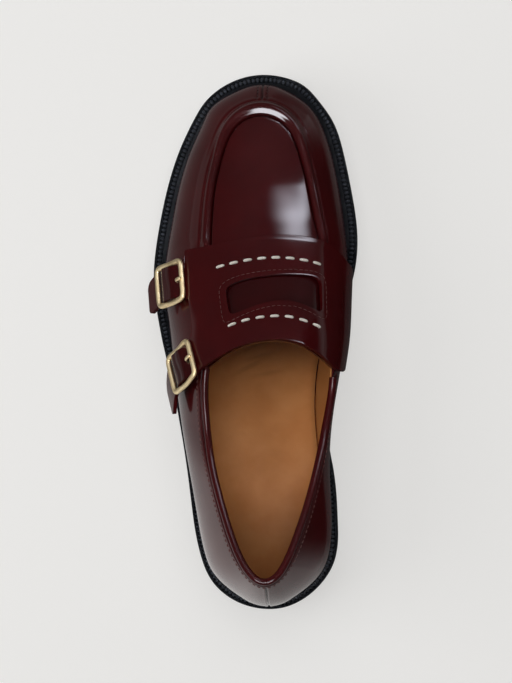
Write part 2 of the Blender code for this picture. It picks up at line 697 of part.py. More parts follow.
def make_prong(fastening, place):
    """A tongue that hooks round the centre bar, comes up through the strap and rests on the outer bar."""
    reach = BAR_WIRE + GAP + PRONG_WIRE
    hook = [(reach * math.cos(a), BAR_DROP + reach * math.sin(a))
            for a in np.linspace(math.radians(60), math.radians(-160), 9)]
    rest = FRAME_LIFT + BUCKLE_WIRE + GAP + PRONG_WIRE * 0.7
    arm = [(-3.0, BAR_DROP - 0.45), (-4.4, BAR_DROP + 0.2), (-5.5, BAR_DROP + 2.2), (-6.6, rest - 0.9),
           (-8.2, rest), (-10.2, rest - 0.05)]
    path = [place.point(s, 0, n) for s, n in hook + arm]
    radius = [PRONG_WIRE] * (len(path) - 2) + [PRONG_WIRE * 0.8, PRONG_WIRE * 0.45]
    tube(fastening.name + "_prong", path, radius, 6, gold(), up=place.b)


def make_chape(fastening, place):
    """The leather loop that wraps the centre bar and lies on the quarter, slotted for the prong."""
    inner = BAR_WIRE + GAP
    outer = inner + CHAPE_THICK
    tail = [2.6, 5.0, 8.0, CHAPE_TAIL]
    low = []
    for s in tail:
        level = max(place.skin_level(s, b) for b in (-CHAPE_HALF, 0, CHAPE_HALF)) + FACET
        low.append((s, min(level, BAR_DROP - 1.2)))
    high = [(s, level + 2 * CHAPE_THICK) for s, level in low]
    ring = np.radians(np.linspace(45, 315, 12))
    behind = np.radians(np.linspace(325, 395, 2 * len(tail)))
    outline = [(outer * math.cos(a), BAR_DROP + outer * math.sin(a)) for a in ring] + low + high[::-1]
    hole = [(inner * math.cos(a), BAR_DROP + inner * math.sin(a)) for a in np.append(ring, behind)]
    edges = ((outline, -CHAPE_HALF), (outline, CHAPE_HALF), (hole, CHAPE_HALF), (hole, -CHAPE_HALF))
    loops = [[place.point(s, b, n) for s, n in loop] for loop, b in edges]
    piece = ring_solid(fastening.name + "_chape", loops, burgundy())
    corners = [place.point(s, b, n) for s in (-4.0, 2.6) for b in (-PRONG_SLOT_HALF, PRONG_SLOT_HALF)
               for n in (BAR_DROP - 6, BAR_DROP + 6)]
    box = [(0, 1, 3, 2), (4, 5, 7, 6), (0, 1, 5, 4), (2, 3, 7, 6), (0, 2, 6, 4), (1, 3, 7, 5)]
    cutter = add_piece(fastening.name + "_chape_cut", corners, box, burgundy())
    cutter.hide_render = True
    cutter.display_type = "WIRE"
    cut = piece.modifiers.new("prong_slot", "BOOLEAN")
    cut.operation = "DIFFERENCE"
    cut.object = cutter


def main():
    for old in list(bpy.data.objects):
        bpy.data.objects.remove(old, do_unlink=True)
    make_sole()
    make_heel()
    make_upper()
    make_saddle()
    for fastening in FASTENINGS:
        place = Place(fastening)
        make_strap(fastening, place)
        make_buckle(fastening, place)
        make_prong(fastening, place)
        make_chape(fastening, place)


main()
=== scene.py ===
"""Double buckle loafer, the left shoe of a pair: leathers, sole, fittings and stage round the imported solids.

Sizes are millimetres in the shoe's own frame: +Y runs to the toe, +Z up from the floor and +X to the
medial side, so the buckles are at -X. Each surface is a grid of points worked out with numpy. A grid's
columns and rows turn so that the cross product of column and row direction points out of the piece.
Meshes are in metres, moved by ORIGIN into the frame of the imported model. In a table each row's columns are
named by the comment at its head; a count given to linspace is only how fine a grid is.
"""
import json
import math
from collections import namedtuple

import bmesh
import bpy
import numpy as np
from mathutils import Matrix, Vector

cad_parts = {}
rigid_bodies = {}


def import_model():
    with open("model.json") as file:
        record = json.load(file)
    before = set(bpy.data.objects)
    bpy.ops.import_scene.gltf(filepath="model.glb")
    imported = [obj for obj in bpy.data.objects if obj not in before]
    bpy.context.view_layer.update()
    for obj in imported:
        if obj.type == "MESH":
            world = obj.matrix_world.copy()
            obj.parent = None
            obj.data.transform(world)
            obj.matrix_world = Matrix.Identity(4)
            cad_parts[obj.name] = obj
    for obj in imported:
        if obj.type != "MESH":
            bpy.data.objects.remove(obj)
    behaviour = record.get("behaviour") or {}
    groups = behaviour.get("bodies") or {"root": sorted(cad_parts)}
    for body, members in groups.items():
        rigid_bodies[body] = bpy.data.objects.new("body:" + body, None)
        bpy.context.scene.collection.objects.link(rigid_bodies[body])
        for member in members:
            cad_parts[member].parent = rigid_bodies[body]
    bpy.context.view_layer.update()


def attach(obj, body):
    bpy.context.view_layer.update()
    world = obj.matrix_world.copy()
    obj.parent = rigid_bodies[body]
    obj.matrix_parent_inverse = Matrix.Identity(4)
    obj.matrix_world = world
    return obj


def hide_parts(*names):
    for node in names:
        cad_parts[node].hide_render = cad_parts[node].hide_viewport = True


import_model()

bl_info = {
    "name": "Double buckle loafer",
    "version": (1, 0, 0),
    "blender": (4, 5, 0),
    "location": "3D View > Sidebar > Loafer",
    "description": "Makes the leathers, sole, fittings and stage of a double buckle loafer",
    "category": "Add Mesh",
}

MM = 0.001
ORIGIN = np.array((0.19, 0.2, 0.0))

# ---------------------------------------------------------------- sizes of the shoe
# They are those of its solids, but for a ridge up to 0.9 mm fuller at y = 70 and 95, a slot in the saddle
# about 3 mm shorter across the shoe, and a rear strap whose tip curls half as far.

GAP = 0.3
SOLE_HEEL, SOLE_TOE = -134.8, 135.2
FLAT_START, FLAT_END = 30.0, 78.0
TOE_SPRING = 8.5
SEAT_START, SEAT_HEIGHT = -70.0, 21.0
LIFT_THICK, TREAD_THICK, OUTSOLE_THICK, MIDSOLE_THICK, WELT_THICK = 7.0, 3.0, 6.0, 5.0, 4.0
BREAST = -62.0
HEEL_MIDDLE = np.array((8.2, -96.0))
HEEL_TAPER = 1.6
WELT_INSIDE = 6.5
INSOLE_THICK = 2.2
GROOVE_FIRST, GROOVE_PITCH, GROOVE_COUNT, GROOVE_WIDTH, GROOVE_DEPTH = -6.0, 12.0, 10, 3.0, 2.0

SOLE_WIDTHS = np.array([          # y, lateral x, medial x
    (-131, -8.2, 23.2), (-122, -19.6, 34.4), (-110, -25.6, 41.4), (-92, -29.6, 42.8), (-70, -32.4, 41.3),
    (-45, -36.4, 37.0), (-20, -41.6, 36.2), (0, -46.7, 39.5), (18, -50.2, 46.0), (36, -51.4, 51.1),
    (60, -48.3, 52.1), (80, -43.9, 48.9), (100, -37.0, 44.5), (115, -29.4, 38.3), (125, -21.6, 30.6),
    (131.5, -11.5, 22.5)]).T
UPPER_HEEL, UPPER_TOE = -131.5, 129.5
UPPER_WIDTHS = np.array([         # y, lateral x, medial x
    (-127, -5.0, 21.2), (-118, -16.3, 32.2), (-105, -23.1, 38.8), (-85, -27.2, 40.1), (-60, -31.7, 39.2),
    (-35, -36.0, 41.0), (-10, -39.8, 45.0), (15, -43.4, 47.3), (36, -44.8, 47.9), (60, -41.2, 46.0),
    (80, -37.1, 42.8), (98, -31.0, 38.7), (112, -24.6, 33.3), (122, -16.2, 24.5), (127, -6.2, 15.8)]).T
HEEL_POWER, TOE_POWER = 6.0, 3.3  # of the superellipses that close both outlines
RIDGE = np.array([                # y, x, z
    (-127, 8.5, 76), (-115, 8.3, 95), (-100, 8.0, 91), (-80, 8.4, 86.5), (-60, 9.2, 84), (-40, 10.5, 83.5),
    (-15, 13.3, 88), (3, 13.6, 83.8), (25, 10.2, 74), (45, 7.8, 66.5), (70, 6.0, 60.5), (95, 5.3, 56.9),
    (115, 5.2, 52), (127, 5.2, 40.5)]).T
WALLS = np.array([                # y, rise, tuck and power of the section, each lateral then medial
    (-131, 14, 14, 3.0, 3.0, 2.3, 2.3), (-100, 14, 14, 2.8, 3.0, 2.3, 2.4),
    (-75, 12.5, 14.5, 2.2, 2.6, 2.3, 3.0),
    (-55, 12, 17, 2.0, 4.4, 2.3, 4.2), (-35, 11, 20, 2.0, 8.0, 2.3, 4.2), (-15, 10, 20, 2.0, 10.2, 2.3, 3.4),
    (3, 9.5, 17, 2.0, 8.8, 2.3, 3.4), (18, 9, 13, 2.0, 5.2, 2.3, 3.2), (36, 8.5, 9.5, 2.0, 2.4, 2.4, 3.0),
    (70, 8.5, 8.5, 2.0, 2.0, 2.6, 2.7), (100, 8.5, 8.5, 2.0, 2.0, 2.6, 2.6),
    (130, 8, 8, 2.0, 2.0, 2.4, 2.4)]).T
MOUTH_HEEL, MOUTH_HEEL_X = -115.1, 8.3
TOPLINE = np.array([              # y, lateral x, medial x, lateral z, medial z
    (-113.6, 4.0, 12.9, 94.0, 94.0), (-108, -1.1, 17.7, 92.4, 92.4), (-96, -7.0, 22.9, 88.4, 88.4),
    (-80, -12.5, 28.4, 83.2, 83.2), (-60, -17.8, 33.8, 78.0, 77.6), (-40, -20.4, 37.9, 75.0, 73.6),
    (-20, -21.2, 41.2, 75.6, 71.6), (-12.7, -20.5, 41.6, 77.0, 71.0)]).T
MOUTH_END = -12.7
QUARTER_START, QUARTER_FULL, QUARTER_BEND = -42.0, -72.0, 1.55     # where and how the walls stand straighter
THROAT_Y, THROAT_X, THROAT_DROP, THROAT_POWER = 1.7, 13.5, 14.4, 2.1
THROAT_LATERAL, THROAT_MEDIAL = -20.5, 41.6
JOIN = -15.0                      # y where the walls' top edge turns from the topline to the apron's seam

SADDLE_THICK, SADDLE_GAP, SADDLE_END = 2.0, 0.5, 1.8
SADDLE_EDGES = np.array([         # turn, rear y, front y
    (-0.54, -16.5, 45.0), (-0.44, -12.2, 46.2), (-0.30, -5.2, 48.6), (-0.15, -0.3, 51.0), (0.0, 1.5, 52.6),
    (0.15, 0.8, 52.9), (0.30, -2.0, 52.2), (0.45, -6.0, 50.4), (0.60, -10.6, 46.4), (0.76, -13.6, 40.6),
    (1.0, -13.0, 36.0), (1.95, -6.0, 30.0)]).T
LATERAL_EDGE = np.array([         # depth (0 at the saddle's rear edge, 1 at its front one), turn
    (0.0, -0.43), (0.16, -0.505), (0.32, -0.51), (0.6, -0.495), (1.0, -0.51)]).T
SADDLE_START = -0.51
SLOT_LATERAL, SLOT_MEDIAL, SLOT_REAR, SLOT_FRONT = -0.25, 0.443, 0.32, 0.64
SLOT_MIDDLE = np.array([SLOT_LATERAL + SLOT_MEDIAL, SLOT_REAR + SLOT_FRONT]) / 2
SLOT_HALF = np.array([SLOT_MEDIAL - SLOT_LATERAL, SLOT_FRONT - SLOT_REAR]) / 2
SLOT_POWER = 5.5                  # of the superellipse that rounds its corners
SLOT_BOWS = [(-1, (-0.47, 0.17, 0.30)), (1, (0.135, 0.225, -0.16))]    # edge, and its bow as a quadratic
SADDLE_DEPTH = 52                 # from its rear edge to its front one, about
SADDLE_LIP, LIP_RIDGE, LIP_END = 0.05, 1.7, 2.5       # its front edge turns up: slope, and from where
RING_STAND_OFF = 0.042            # of the stitches round the slot, in turn and depth alike
CREAM_ROWS = [                    # turn from, turn to, depth
    (-0.32, 0.46, 0.775), (-0.28, 0.44, 0.215)]

Fastening = namedtuple("Fastening", "name centre along across tip sway curl rear front")
FASTENINGS = [     # sway and curl carry the tip along b and n; rear and front are depths in the saddle
    Fastening("front", (-40.5, 28.8, 55.7), (-0.664, -0.243, -0.708), (0.091, -0.966, 0.245),
              18.65, 3.4, -0.6, 0.6, 1.0),
    Fastening("rear", (-33.5, -12.5, 70.4), (-0.546, -0.525, -0.652), (0.240, -0.848, 0.478),
              20.5, 7.6, -3.2, 0.0, 0.32),
]
STRAP_HALF, STRAP_THICK, STRAP_CORNER, TAIL_BEND = 8.2, 1.8, 3.2, 1.4
STRAP_LIFT, STRAP_LIFT_RUN = 1.7, 0.17            # the saddle's lateral edge lifts to meet its straps
STRAP_SAG, STRAP_SAG_AT, STRAP_SAG_HALF = 0.6, 0.46, 0.14      # and sags again between them
STRAP_CREASE = 0.12                               # fine creases where it bends over the centre bar
STRAP_SLOPE = 6.0                                 # how far a strap takes to climb from bar to bar
BUCKLE_HALF_LONG, BUCKLE_WIRE = 9.0, 1.25
BAR_WIRE, BAR_DROP, FRAME_LIFT = 0.9, -2.0, 1.0
PRONG_WIRE = 0.55
CHAPE_HALF, CHAPE_THICK, CHAPE_TAIL = 6.2, 1.0, 13.0
PRONG_SLOT_HALF = 1.3
HOLE_START, HOLE_END, HOLE_HALF = -6.6, -4.4, 0.85     # the prong's hole: along the strap, half its width

# ---------------------------------------------------------------- sizes of the finish

CASTING_SHIFT = -1.8                            # how far along s the castings sit from their solids
FRAME_HALF_LONG, FRAME_HALF_WIDE = 9.7, 9.8     # the cast frame, a little heavier than its solid
FRAME_POWER = 0.26                              # 1 is an oval frame, 0 a square one
FRAME_WIDE, FRAME_HIGH = 1.42, 1.15             # half the casting's width and height
RAIL_DIP, RAIL_DIP_HALF, RAIL_DIP_POWER = 0.7, 7.0, 4   # the frame's long rails are bowed down in the middle
STITCH_SINK = 0.35                              # how far a stitch's ends go in, as a share of its width
STITCH_WELD = 0.0005                            # points nearer than this are joined within a stitch

SEAM = np.array([                 # the apron's seam in plan, from the throat's lateral corner round the toe
    (-20.5, -12.7), (-20.3, 10), (-19.9, 30), (-19.5, 47.3), (-19.3, 57), (-18.8, 67), (-17.3, 79.7),
    (-15, 89.4), (-12.2, 98.6), (-8.6, 105.4), (-3.0, 110.2), (5.2, 112.1), (12.6, 110.4), (17.8, 106.6),
    (21.8, 99.8), (25.1, 89.9), (27.8, 79.7), (29.8, 69.7), (31.9, 59.7), (34.0, 50.5), (36.2, 38),
    (38.8, 18), (40.8, 0), (41.6, -12.7)]).T
SEAM_APEX = 11
RIM = np.array([                  # the apron's rim: distance out from the seam, share of its height
    (0, -0.70), (0.3, -0.5), (0.7, 0.0), (1.3, 0.44), (2.0, 0.74), (2.8, 0.92), (3.5, 1.0), (4.2, 0.97),
    (5.0, 0.80), (5.8, 0.52), (6.5, 0.20), (7.0, -0.06), (7.4, -0.12), (7.9, 0.03), (8.6, 0.08), (10.5, 0.02),
    (13.5, 0.0)]).T
TOE_RIM = np.array([              # the same round the toe, where its inner side is a long ramp
    (0, -0.80), (0.3, -0.62), (0.6, -0.34), (0.95, 0.0), (1.5, 0.24), (2.2, 0.52), (2.9, 0.81), (3.6, 1.08),
    (4.0, 1.22), (4.4, 1.32), (4.9, 1.35), (5.5, 1.28), (6.5, 1.04), (7.6, 0.68), (8.8, 0.30), (9.8, 0.05),
    (10.5, -0.06), (11.0, 0.0), (11.6, 0.09), (12.6, 0.07), (13.5, 0.0)]).T
STITCH_SHAPE = np.array([         # along half a stitch's length, thickness as a share of its width
    (-1, 0), (-0.9, 0.62), (-0.62, 0.95), (0, 1), (0.62, 0.95), (0.9, 0.62), (1, 0)]).T
WELT = [                          # distance in from the edge, height, depth of the wheel's notches
    (0.9, -3.68, 0), (0.35, -3.4, 0), (0.05, -2.8, 0), (0.0, -1.9, 0), (0.05, -1.0, 0.1), (0.3, -0.35, 0.3),
    (0.75, -0.05, 0.42), (1.15, 0.02, 0.42), (1.4, 0.0, 0.25), (1.65, -0.28, 0.1), (2.05, -0.45, 0),
    (3.4, -0.45, 0), (3.8, -0.28, 0), (4.05, 0.0, 0), (4.5, 0.03, 0), (5.2, 0.0, 0)]
WELT_FOOT = -3.7                  # height of its underside
MIDSOLE_LOW = [                   # distance in from the edge, height over its underside
    (1.3, 0), (0.95, 0.15), (0.8, 0.5), (0.75, 1.6), (0.95, 1.9), (0.75, 2.2)]
MIDSOLE_HIGH = [                  # distance in from the edge, height over its top
    (0.75, -0.5), (0.95, -0.12), (1.3, 0)]
MIDSOLE_IN, OUTSOLE_IN, OUTSOLE_TOP_IN = 1.3, 1.2, 0.5    # where the rows to the spine begin
TREAD_LINE = 0.5                  # depth of the line round the tread
HEEL_REACH = 40                   # how far from the heel's middle HEEL_TAPER is measured
HEEL_CENTRE = 36                  # drawn in by this much, a ring of the heel shrinks to its middle
HEEL_LIFTS, LIFT_LINE = 4, 0.3    # layers of the stack, and the depth of the lines between them
RIB_PITCH, RIB_DEPTH, RIB_SHARPNESS = 6.0, 0.5, 2.2       # cross ribs under the top lift
BINDING = np.array([              # topline binding: distance down from the edge, height off the leather
    (5.9, -0.6), (5.9, 0.15), (5.75, 0.42), (5.4, 0.52), (4.6, 0.56), (3.8, 0.54), (3.35, 0.40), (3.1, 0.08),
    (2.85, -0.24), (2.55, -0.30), (2.3, -0.06), (2.1, 0.42), (1.75, 0.90), (1.2, 1.20), (0.5, 1.20),
    (-0.15, 0.88), (-0.62, 0.30), (-0.85, -0.45), (-0.8, -1.2), (-0.45, -1.9), (0.2, -2.35), (1.2, -2.55),
    (3.0, -2.55), (4.6, -2.5), (5.2, -2.2), (5.2, -1.2)]).T
NEAR_ROWS = np.array([            # rows of the upper's walls, close together over the rim
    0, .15, .3, .5, .7, .95, 1.25, 1.6, 2, 2.45, 2.95, 3.5, 4.1, 4.7, 5.3, 5.9, 6.4, 6.8, 7.1, 7.5, 7.9, 8.4,
    8.9, 9.4, 9.8, 10.2, 10.6, 11.0, 11.5, 12.2, 13.0])
TOE_SEAM_X, BACK_SEAM_X = 5.3, 9.1    # x of the two closing seams
PLUG_EDGE = np.array([0, 0.25, 0.5, 0.8, 1.2, 1.7, 2.4, 3.2])      # columns by the plug's edges
PLUG_NARROW = 14                      # they crowd together where the plug is narrower than this
LINING_ROWS = np.array([0.0, 1.0, 2.4, 4, 6, 8.5, 11.5])           # and rows of the lining by its top edge
RIM_FOOT = 0.7                        # the seam's depth in RIM's own shares
RIM_SWELL = 0.13                      # how much higher the rim is for each millimetre of the toe's lift
ROUND_TOE = 80, 106                   # y over which RIM turns into TOE_RIM
LIFT_START, LIFT_REACH, LIFT_HEIGHT, LIFT_POWER = 102, 10, 1.4, 2.2     # the apron's front end stands up
OPEN_LATERAL, OPEN_MEDIAL, OPEN_RUN = 43.5, 44.0, 6    # y where the seam comes out from under the saddle
OPEN_PLUG = 40, 48                    # y over which the plug does
PLUG_SINK, PLUG_GROOVE_HALF = 0.1, 0.34     # its edge lies deeper than the seam, within this distance
PLUG_BOW = 0.36                       # share of the seam over which its rows turn from the throat's arch
BURIED_EDGE, BURIED_PLUG = 0.7, 0.35  # how far both sink under the saddle
PUCKER, PUCKER_WAVE = 0.13, 2.1       # height of the puckers beyond the rim and radians per millimetre
PUCKER_AT, PUCKER_HALF, PUCKER_REACH = 11.8, 1.6, 9    # distance from the seam, half widths down and across
CROWN_SWELL, CROWN_AT, CROWN_HALF = 0.17, 54, 9        # the plug's crown is a little fuller here
DRIFT = 0.03                          # height of the leather's slow waves
TOE_SEAM = [(1.2, 0.6, 0.14), (0, 0.4, -0.5), (2.5, 0.35, -0.2)]       # distance, half width, height
TOE_DARK = [(0, 0.5, 0.6), (2.5, 0.4, 0.4)]
BACK_SEAM = [(1.1, 0.6, 0.14), (0, 0.42, -0.6)]
BACK_DARK = [(0, 0.5, 0.6)]
SEAM_DARK = [(0, 0.5, 0.8)]
TOE_ROWS_APART = 2.5              # from each row of stitches to the closing seam
FLEX_FOLDS = [                    # x, y, lean, half width across the fold, half its length, depth
    (-36, 47.7, 0.35, 3.2, 7, 0.28), (41, 48.7, -0.3, 3.4, 6, 0.22)]
SOCK_FOLDS = [                    # the same columns
    (0, -2, 0.45, 1.1, 7, 0.35), (4, -7, 0.3, 1.1, 7, 0.25), (-1, -12, 0.5, 1.1, 7, 0.3),
    (7, -16, 0.2, 1.1, 7, 0.2)]
SOCK_CREASES = [                  # and for the creases right across the sock, where the toes bend
    (0, 38, 0.1, 1.6, 1e6, 0.12), (0, 52, 0.0, 1.4, 1e6, 0.1)]
SOCK_PAINTED_SHADE = [                     # y from, y to, how much darker: painted shade under the vamp, and at the heel
    (-20, 10, 0.72), (-70, -104, 0.42)]
SOCK_CURL, SOCK_CURL_POWER, SOCK_DISH = 1.5, 8, 0.7   # its edges turn up, its middle lies low
SOCK_SHORT, SOCK_NARROW = 2.7, 1.9   # how far the sock stays inside the walls, at its tips and its sides
LINING_SHADE, LINING_SHADE_X = (0.60, 0.83), (-20, 30)     # painted shade, lateral and medial, and x over which it turns
UPPER_LEATHER, PLUG_LEATHER = 1.2, 1.6            # from the face of the last shape inwards
WALL_LINING, VAMP_LINING = (1.3, 2.0), (1.7, 2.3)      # outer and inner face, from the same face inwards
TOE_CLOSING, BACK_CLOSING = (110, 114), (-112, -116)   # y over which the closing seams begin
TOE_CLOSING_DOWN, BACK_CLOSING_DOWN = (10.6, 12.1), (5, 6)     # and lengths down from the top edge
LIFT_DOWN, BURIED_DOWN, FOLDS_DOWN = (11, 4.5), (6.1, 5.7), (0, 6)     # where toe lift, burying, folds begin
BINDING_ENDS = JOIN + 5, JOIN - 4                 # y of its lateral and medial end
BINDING_GROOVE = 2.7                              # distance down from the edge to its groove, where shade is painted
BAND_LIFT, BAND_AT, BAND_FALL = 0.42, 4.5, 5.0    # its flat band: height, place, end of the roll
CAP_REACH, CAP_SHARES = 0.7, (0.0, 0.35, 0.75)    # the binding's closed ends
WELT_ROW, WELT_ROW_SINK, WELT_STITCH_SHARE = 2.75, 0.25, 0.66     # distance in, depth, length over pitch


def linear(code):
    """A six-figure sRGB hex colour as linear RGB."""
    value = np.array([int(code[i:i + 2], 16) for i in (0, 2, 4)]) / 255
    return tuple(np.where(value <= 0.04045, value / 12.92, ((value + 0.055) / 1.055) ** 2.4).tolist())


# ---------------------------------------------------------------- numbers

def spline(at, value):
    """Natural cubic spline through (at, value), held level past both ends."""
    step = np.diff(at)
    count = len(at)
    inner = np.arange(1, count - 1)
    matrix = np.eye(count)
    matrix[inner, inner - 1], matrix[inner, inner], matrix[inner, inner + 1] = (
        step[:-1], 2 * (step[:-1] + step[1:]), step[1:])
    bend = np.zeros(count)
    bend[1:-1] = 6 * np.diff(np.diff(value) / step)
    curve = np.linalg.solve(matrix, bend)

    def evaluate(place):
        """The cubic of the stretch that a place falls in."""
        place = np.clip(place, at[0], at[-1])
        i = np.clip(np.searchsorted(at, place, side="right") - 1, 0, count - 2)
        before, after, width = place - at[i], at[i + 1] - place, step[i]
        return ((curve[i] * after ** 3 + curve[i + 1] * before ** 3) / (6 * width)
                + (value[i] / width - curve[i] * width / 6) * after
                + (value[i + 1] / width - curve[i + 1] * width / 6) * before)
    return evaluate


def ease(value):
    """Smooth step from 0 to 1."""
    value = np.clip(value, 0, 1)
    return value * value * (3 - 2 * value)


def ramp(value, start, end):
    """Smooth step from 0 where the value is `start` to 1 where it is `end`."""
    return ease((value - start) / (end - start))


def unit(vectors):
    """Vectors of length 1."""
    vectors = np.asarray(vectors, float)
    return vectors / np.maximum(np.linalg.norm(vectors, axis=-1, keepdims=True), 1e-12)


def mix(first, second, share):
    """From the first at share 0 to the second at 1."""
    return first + (second - first) * share


def dent(value, width):
    """Bell curve, 1 at 0."""
    return np.exp(-(value / width) ** 2)


def run_of(path):
    """Length from 0 along a path of points, or down each column of a grid."""
    steps = np.linalg.norm(np.diff(path, axis=0), axis=-1)
    return np.concatenate([np.zeros_like(steps[:1]), np.cumsum(steps, axis=0)])


def follow(path, run, place):
    """Points of a path at given lengths along it."""
    return np.stack([np.interp(place, run, path[:, k]) for k in range(path.shape[1])], axis=-1)


def raised(plan, level):
    """Points from plan ones and their height."""
    return np.concatenate([plan, np.broadcast_to(level, plan.shape[:-1])[..., None]], axis=-1)


def sided(pair, y, side):
    """The first of two functions of y on the lateral side, where `side` is below 0, else the second."""
    return np.where(side < 0, pair[0](y), pair[1](y))


def squared(angle, power):
    """Cosine and sine raised to a power with their signs: a superellipse, squarer as the power falls."""
    return [np.sign(part) * np.abs(part) ** power for part in (np.cos(angle), np.sin(angle))]


def grid_normals(grid, wrap_columns=False):
    """Unit cross product of column and row direction at each point of a grid."""
    down = np.gradient(grid, axis=0)
    if wrap_columns:
        across = np.roll(grid, -1, axis=1) - np.roll(grid, 1, axis=1)
    else:
        across = np.gradient(grid, axis=1)
    return unit(np.cross(across, down))


axis = spline(RIDGE[0], RIDGE[1])


class Outline:
    """A closed outline seen from above: two sides from a width table, closed by superellipse ends."""

    def __init__(self, widths, heel, toe):
        y, lateral, medial = widths
        self.middle, self.half = (heel + toe) / 2, (toe - heel) / 2
        self.sides = [spline(y, (x - axis(y)) / self.full(y)) for x in (lateral, medial)]
        self.dense = np.linspace(0, math.pi, 6001)
        self.run = [run_of(self.plan(turn)) for turn in (self.dense, -self.dense)]

    def full(self, y):
        """1 along the shoe's middle, falling to 0 at the two tips like a superellipse."""
        place = (y - self.middle) / self.half
        power = np.where(place < 0, HEEL_POWER, TOE_POWER)
        return np.sqrt(np.clip(1 - np.abs(place) ** power, 0, 1))

    def edge(self, y, side):
        """x of the outline on one side."""
        return axis(y) + sided(self.sides, y, side) * self.full(y)

    def station(self, turn):
        """y over an angle."""
        return self.middle - self.half * np.cos(turn)

    def plan(self, turn):
        """Plan points over an angle: 0 is the heel, pi the toe, between them the lateral side, past them
        the medial one."""
        y = self.station(turn)
        return np.stack([self.edge(y, self.side(turn)), y], axis=-1)

    @staticmethod
    def side(turn):
        """-1 on the lateral side and 1 on the medial one."""
        return np.where(np.sin(turn) >= 0, -1, 1)

    def outward(self, turn):
        """Plan normals: the tangent of the clockwise outline, turned to its left."""
        tangent = self.plan(turn + 1e-4) - self.plan(turn - 1e-4)
        return unit(np.stack([-tangent[:, 1], tangent[:, 0]], axis=-1))

    def columns(self, spacing, finest=None, fine_length=0.0, growth=0.25):
        """Angles all round, spaced along the mean of both sides, closer together at the two tips."""
        run = (self.run[0] + self.run[1]) / 2
        near = np.minimum(run, run[-1] - run)
        step = np.full_like(run, spacing)
        if finest:
            step = np.clip(finest + growth * (near - fine_length), finest, spacing)
        count = np.concatenate([[0.0], np.cumsum(np.diff(run) / step[1:])])
        number = round(count[-1])
        half = np.interp(np.arange(number + 1) * count[-1] / number, count, self.dense)
        return np.concatenate([half[:-1], 2 * math.pi - half[:0:-1]])


sole_outline = Outline(SOLE_WIDTHS, SOLE_HEEL, SOLE_TOE)
upper_outline = Outline(UPPER_WIDTHS, UPPER_HEEL, UPPER_TOE)


# ---------------------------------------------------------------- heights and forms

def seat(y):
    """0 at the ball and 1 at the heel seat."""
    return ramp(y, FLAT_START, SEAT_START)


def tread(y):
    """Underside of the outsole: level under the ball, up at the toe, up through the waist to the seat."""
    return TOE_SPRING * np.clip((y - FLAT_END) / (SOLE_TOE - FLAT_END), 0, 1) ** 1.8 + SEAT_HEIGHT * seat(y)


def outsole_top(y):
    """Tread, outsole and the sole's extra thickness under the ball."""
    return tread(y) + OUTSOLE_THICK + TREAD_THICK * (1 - seat(y))


def welt_top(y):
    """The ledge round the shoe."""
    return outsole_top(y) + MIDSOLE_THICK + WELT_THICK


def feather(y):
    """Where the upper meets the welt."""
    return welt_top(y) + GAP


wall = [spline(WALLS[0], column) for column in WALLS[1:]]


def widest_height(y, side):
    """Height of the upper's widest line."""
    return feather(y) + sided(wall[0:2], y, side)


def tuck(y, side):
    """How far the wall draws in from its widest line to the welt."""
    return sided(wall[2:4], y, side)


def middle_height(y):
    """Mean height of both widest lines."""
    return (widest_height(y, -1) + widest_height(y, 1)) / 2


crown = spline(RIDGE[0], (RIDGE[2] - middle_height(RIDGE[0])) / upper_outline.full(RIDGE[0]))


def dome(x, y):
    """Height of the upper's face: across the shoe a superellipse from its widest line to the ridge."""
    side = np.where(x < axis(y), -1, 1)
    edge = upper_outline.edge(y, side)
    reach = np.clip(np.abs((x - axis(y)) / (edge - axis(y))), 0, 1)
    ridge = middle_height(y) + crown(y) * upper_outline.full(y)
    low = widest_height(y, side)
    return low + (ridge - low) * np.sqrt(1 - reach ** sided(wall[4:6], y, side))


def dome_normal(points):
    """Unit normals of the dome at points, from its slopes in X and Y."""
    x, y, step = points[..., 0], points[..., 1], 0.2
    slope_x = (dome(x + step, y) - dome(x - step, y)) / (2 * step)
    slope_y = (dome(x, y + step) - dome(x, y - step)) / (2 * step)
    return unit(np.stack([-slope_x, -slope_y, np.ones_like(slope_x)], axis=-1))


def throat(x):
    """The throat's arch: y of its edge over x."""
    half = np.where(x < THROAT_X, THROAT_X - THROAT_LATERAL, THROAT_MEDIAL - THROAT_X)
    return THROAT_Y - THROAT_DROP * np.abs((x - THROAT_X) / half) ** THROAT_POWER


mouth_sides = [spline(TOPLINE[0], (x - MOUTH_HEEL_X) / np.sqrt(TOPLINE[0] - MOUTH_HEEL))
               for x in TOPLINE[1:3]]
mouth_height = [spline(TOPLINE[0], z) for z in TOPLINE[3:5]]

seam_knots = run_of(SEAM.T)
seam_dense = np.linspace(0, seam_knots[-1], 4001)
seam_path = np.stack([spline(seam_knots, column)(seam_dense) for column in SEAM], axis=-1)
seam_run = run_of(seam_path)
seam_top = np.interp(seam_knots[SEAM_APEX], seam_dense, seam_run)


def seam_point(share, side):
    """The apron's seam from a corner of the throat (share 0) to its apex (share 1)."""
    place = np.where(side < 0, share * seam_top, seam_run[-1] - share * (seam_run[-1] - seam_top))
    return follow(seam_path, seam_run, place)


def seam_distance(plan):
    """Distance in plan from each point to the apron's seam, taken a block of points at a time."""
    flat = plan.reshape(-1, 2)
    line = seam_path[::8]
    blocks = [np.sqrt(((block[:, None] - line) ** 2).sum(axis=2).min(axis=1))
              for block in np.array_split(flat, 40)]
    return np.concatenate(blocks).reshape(plan.shape[:-1])


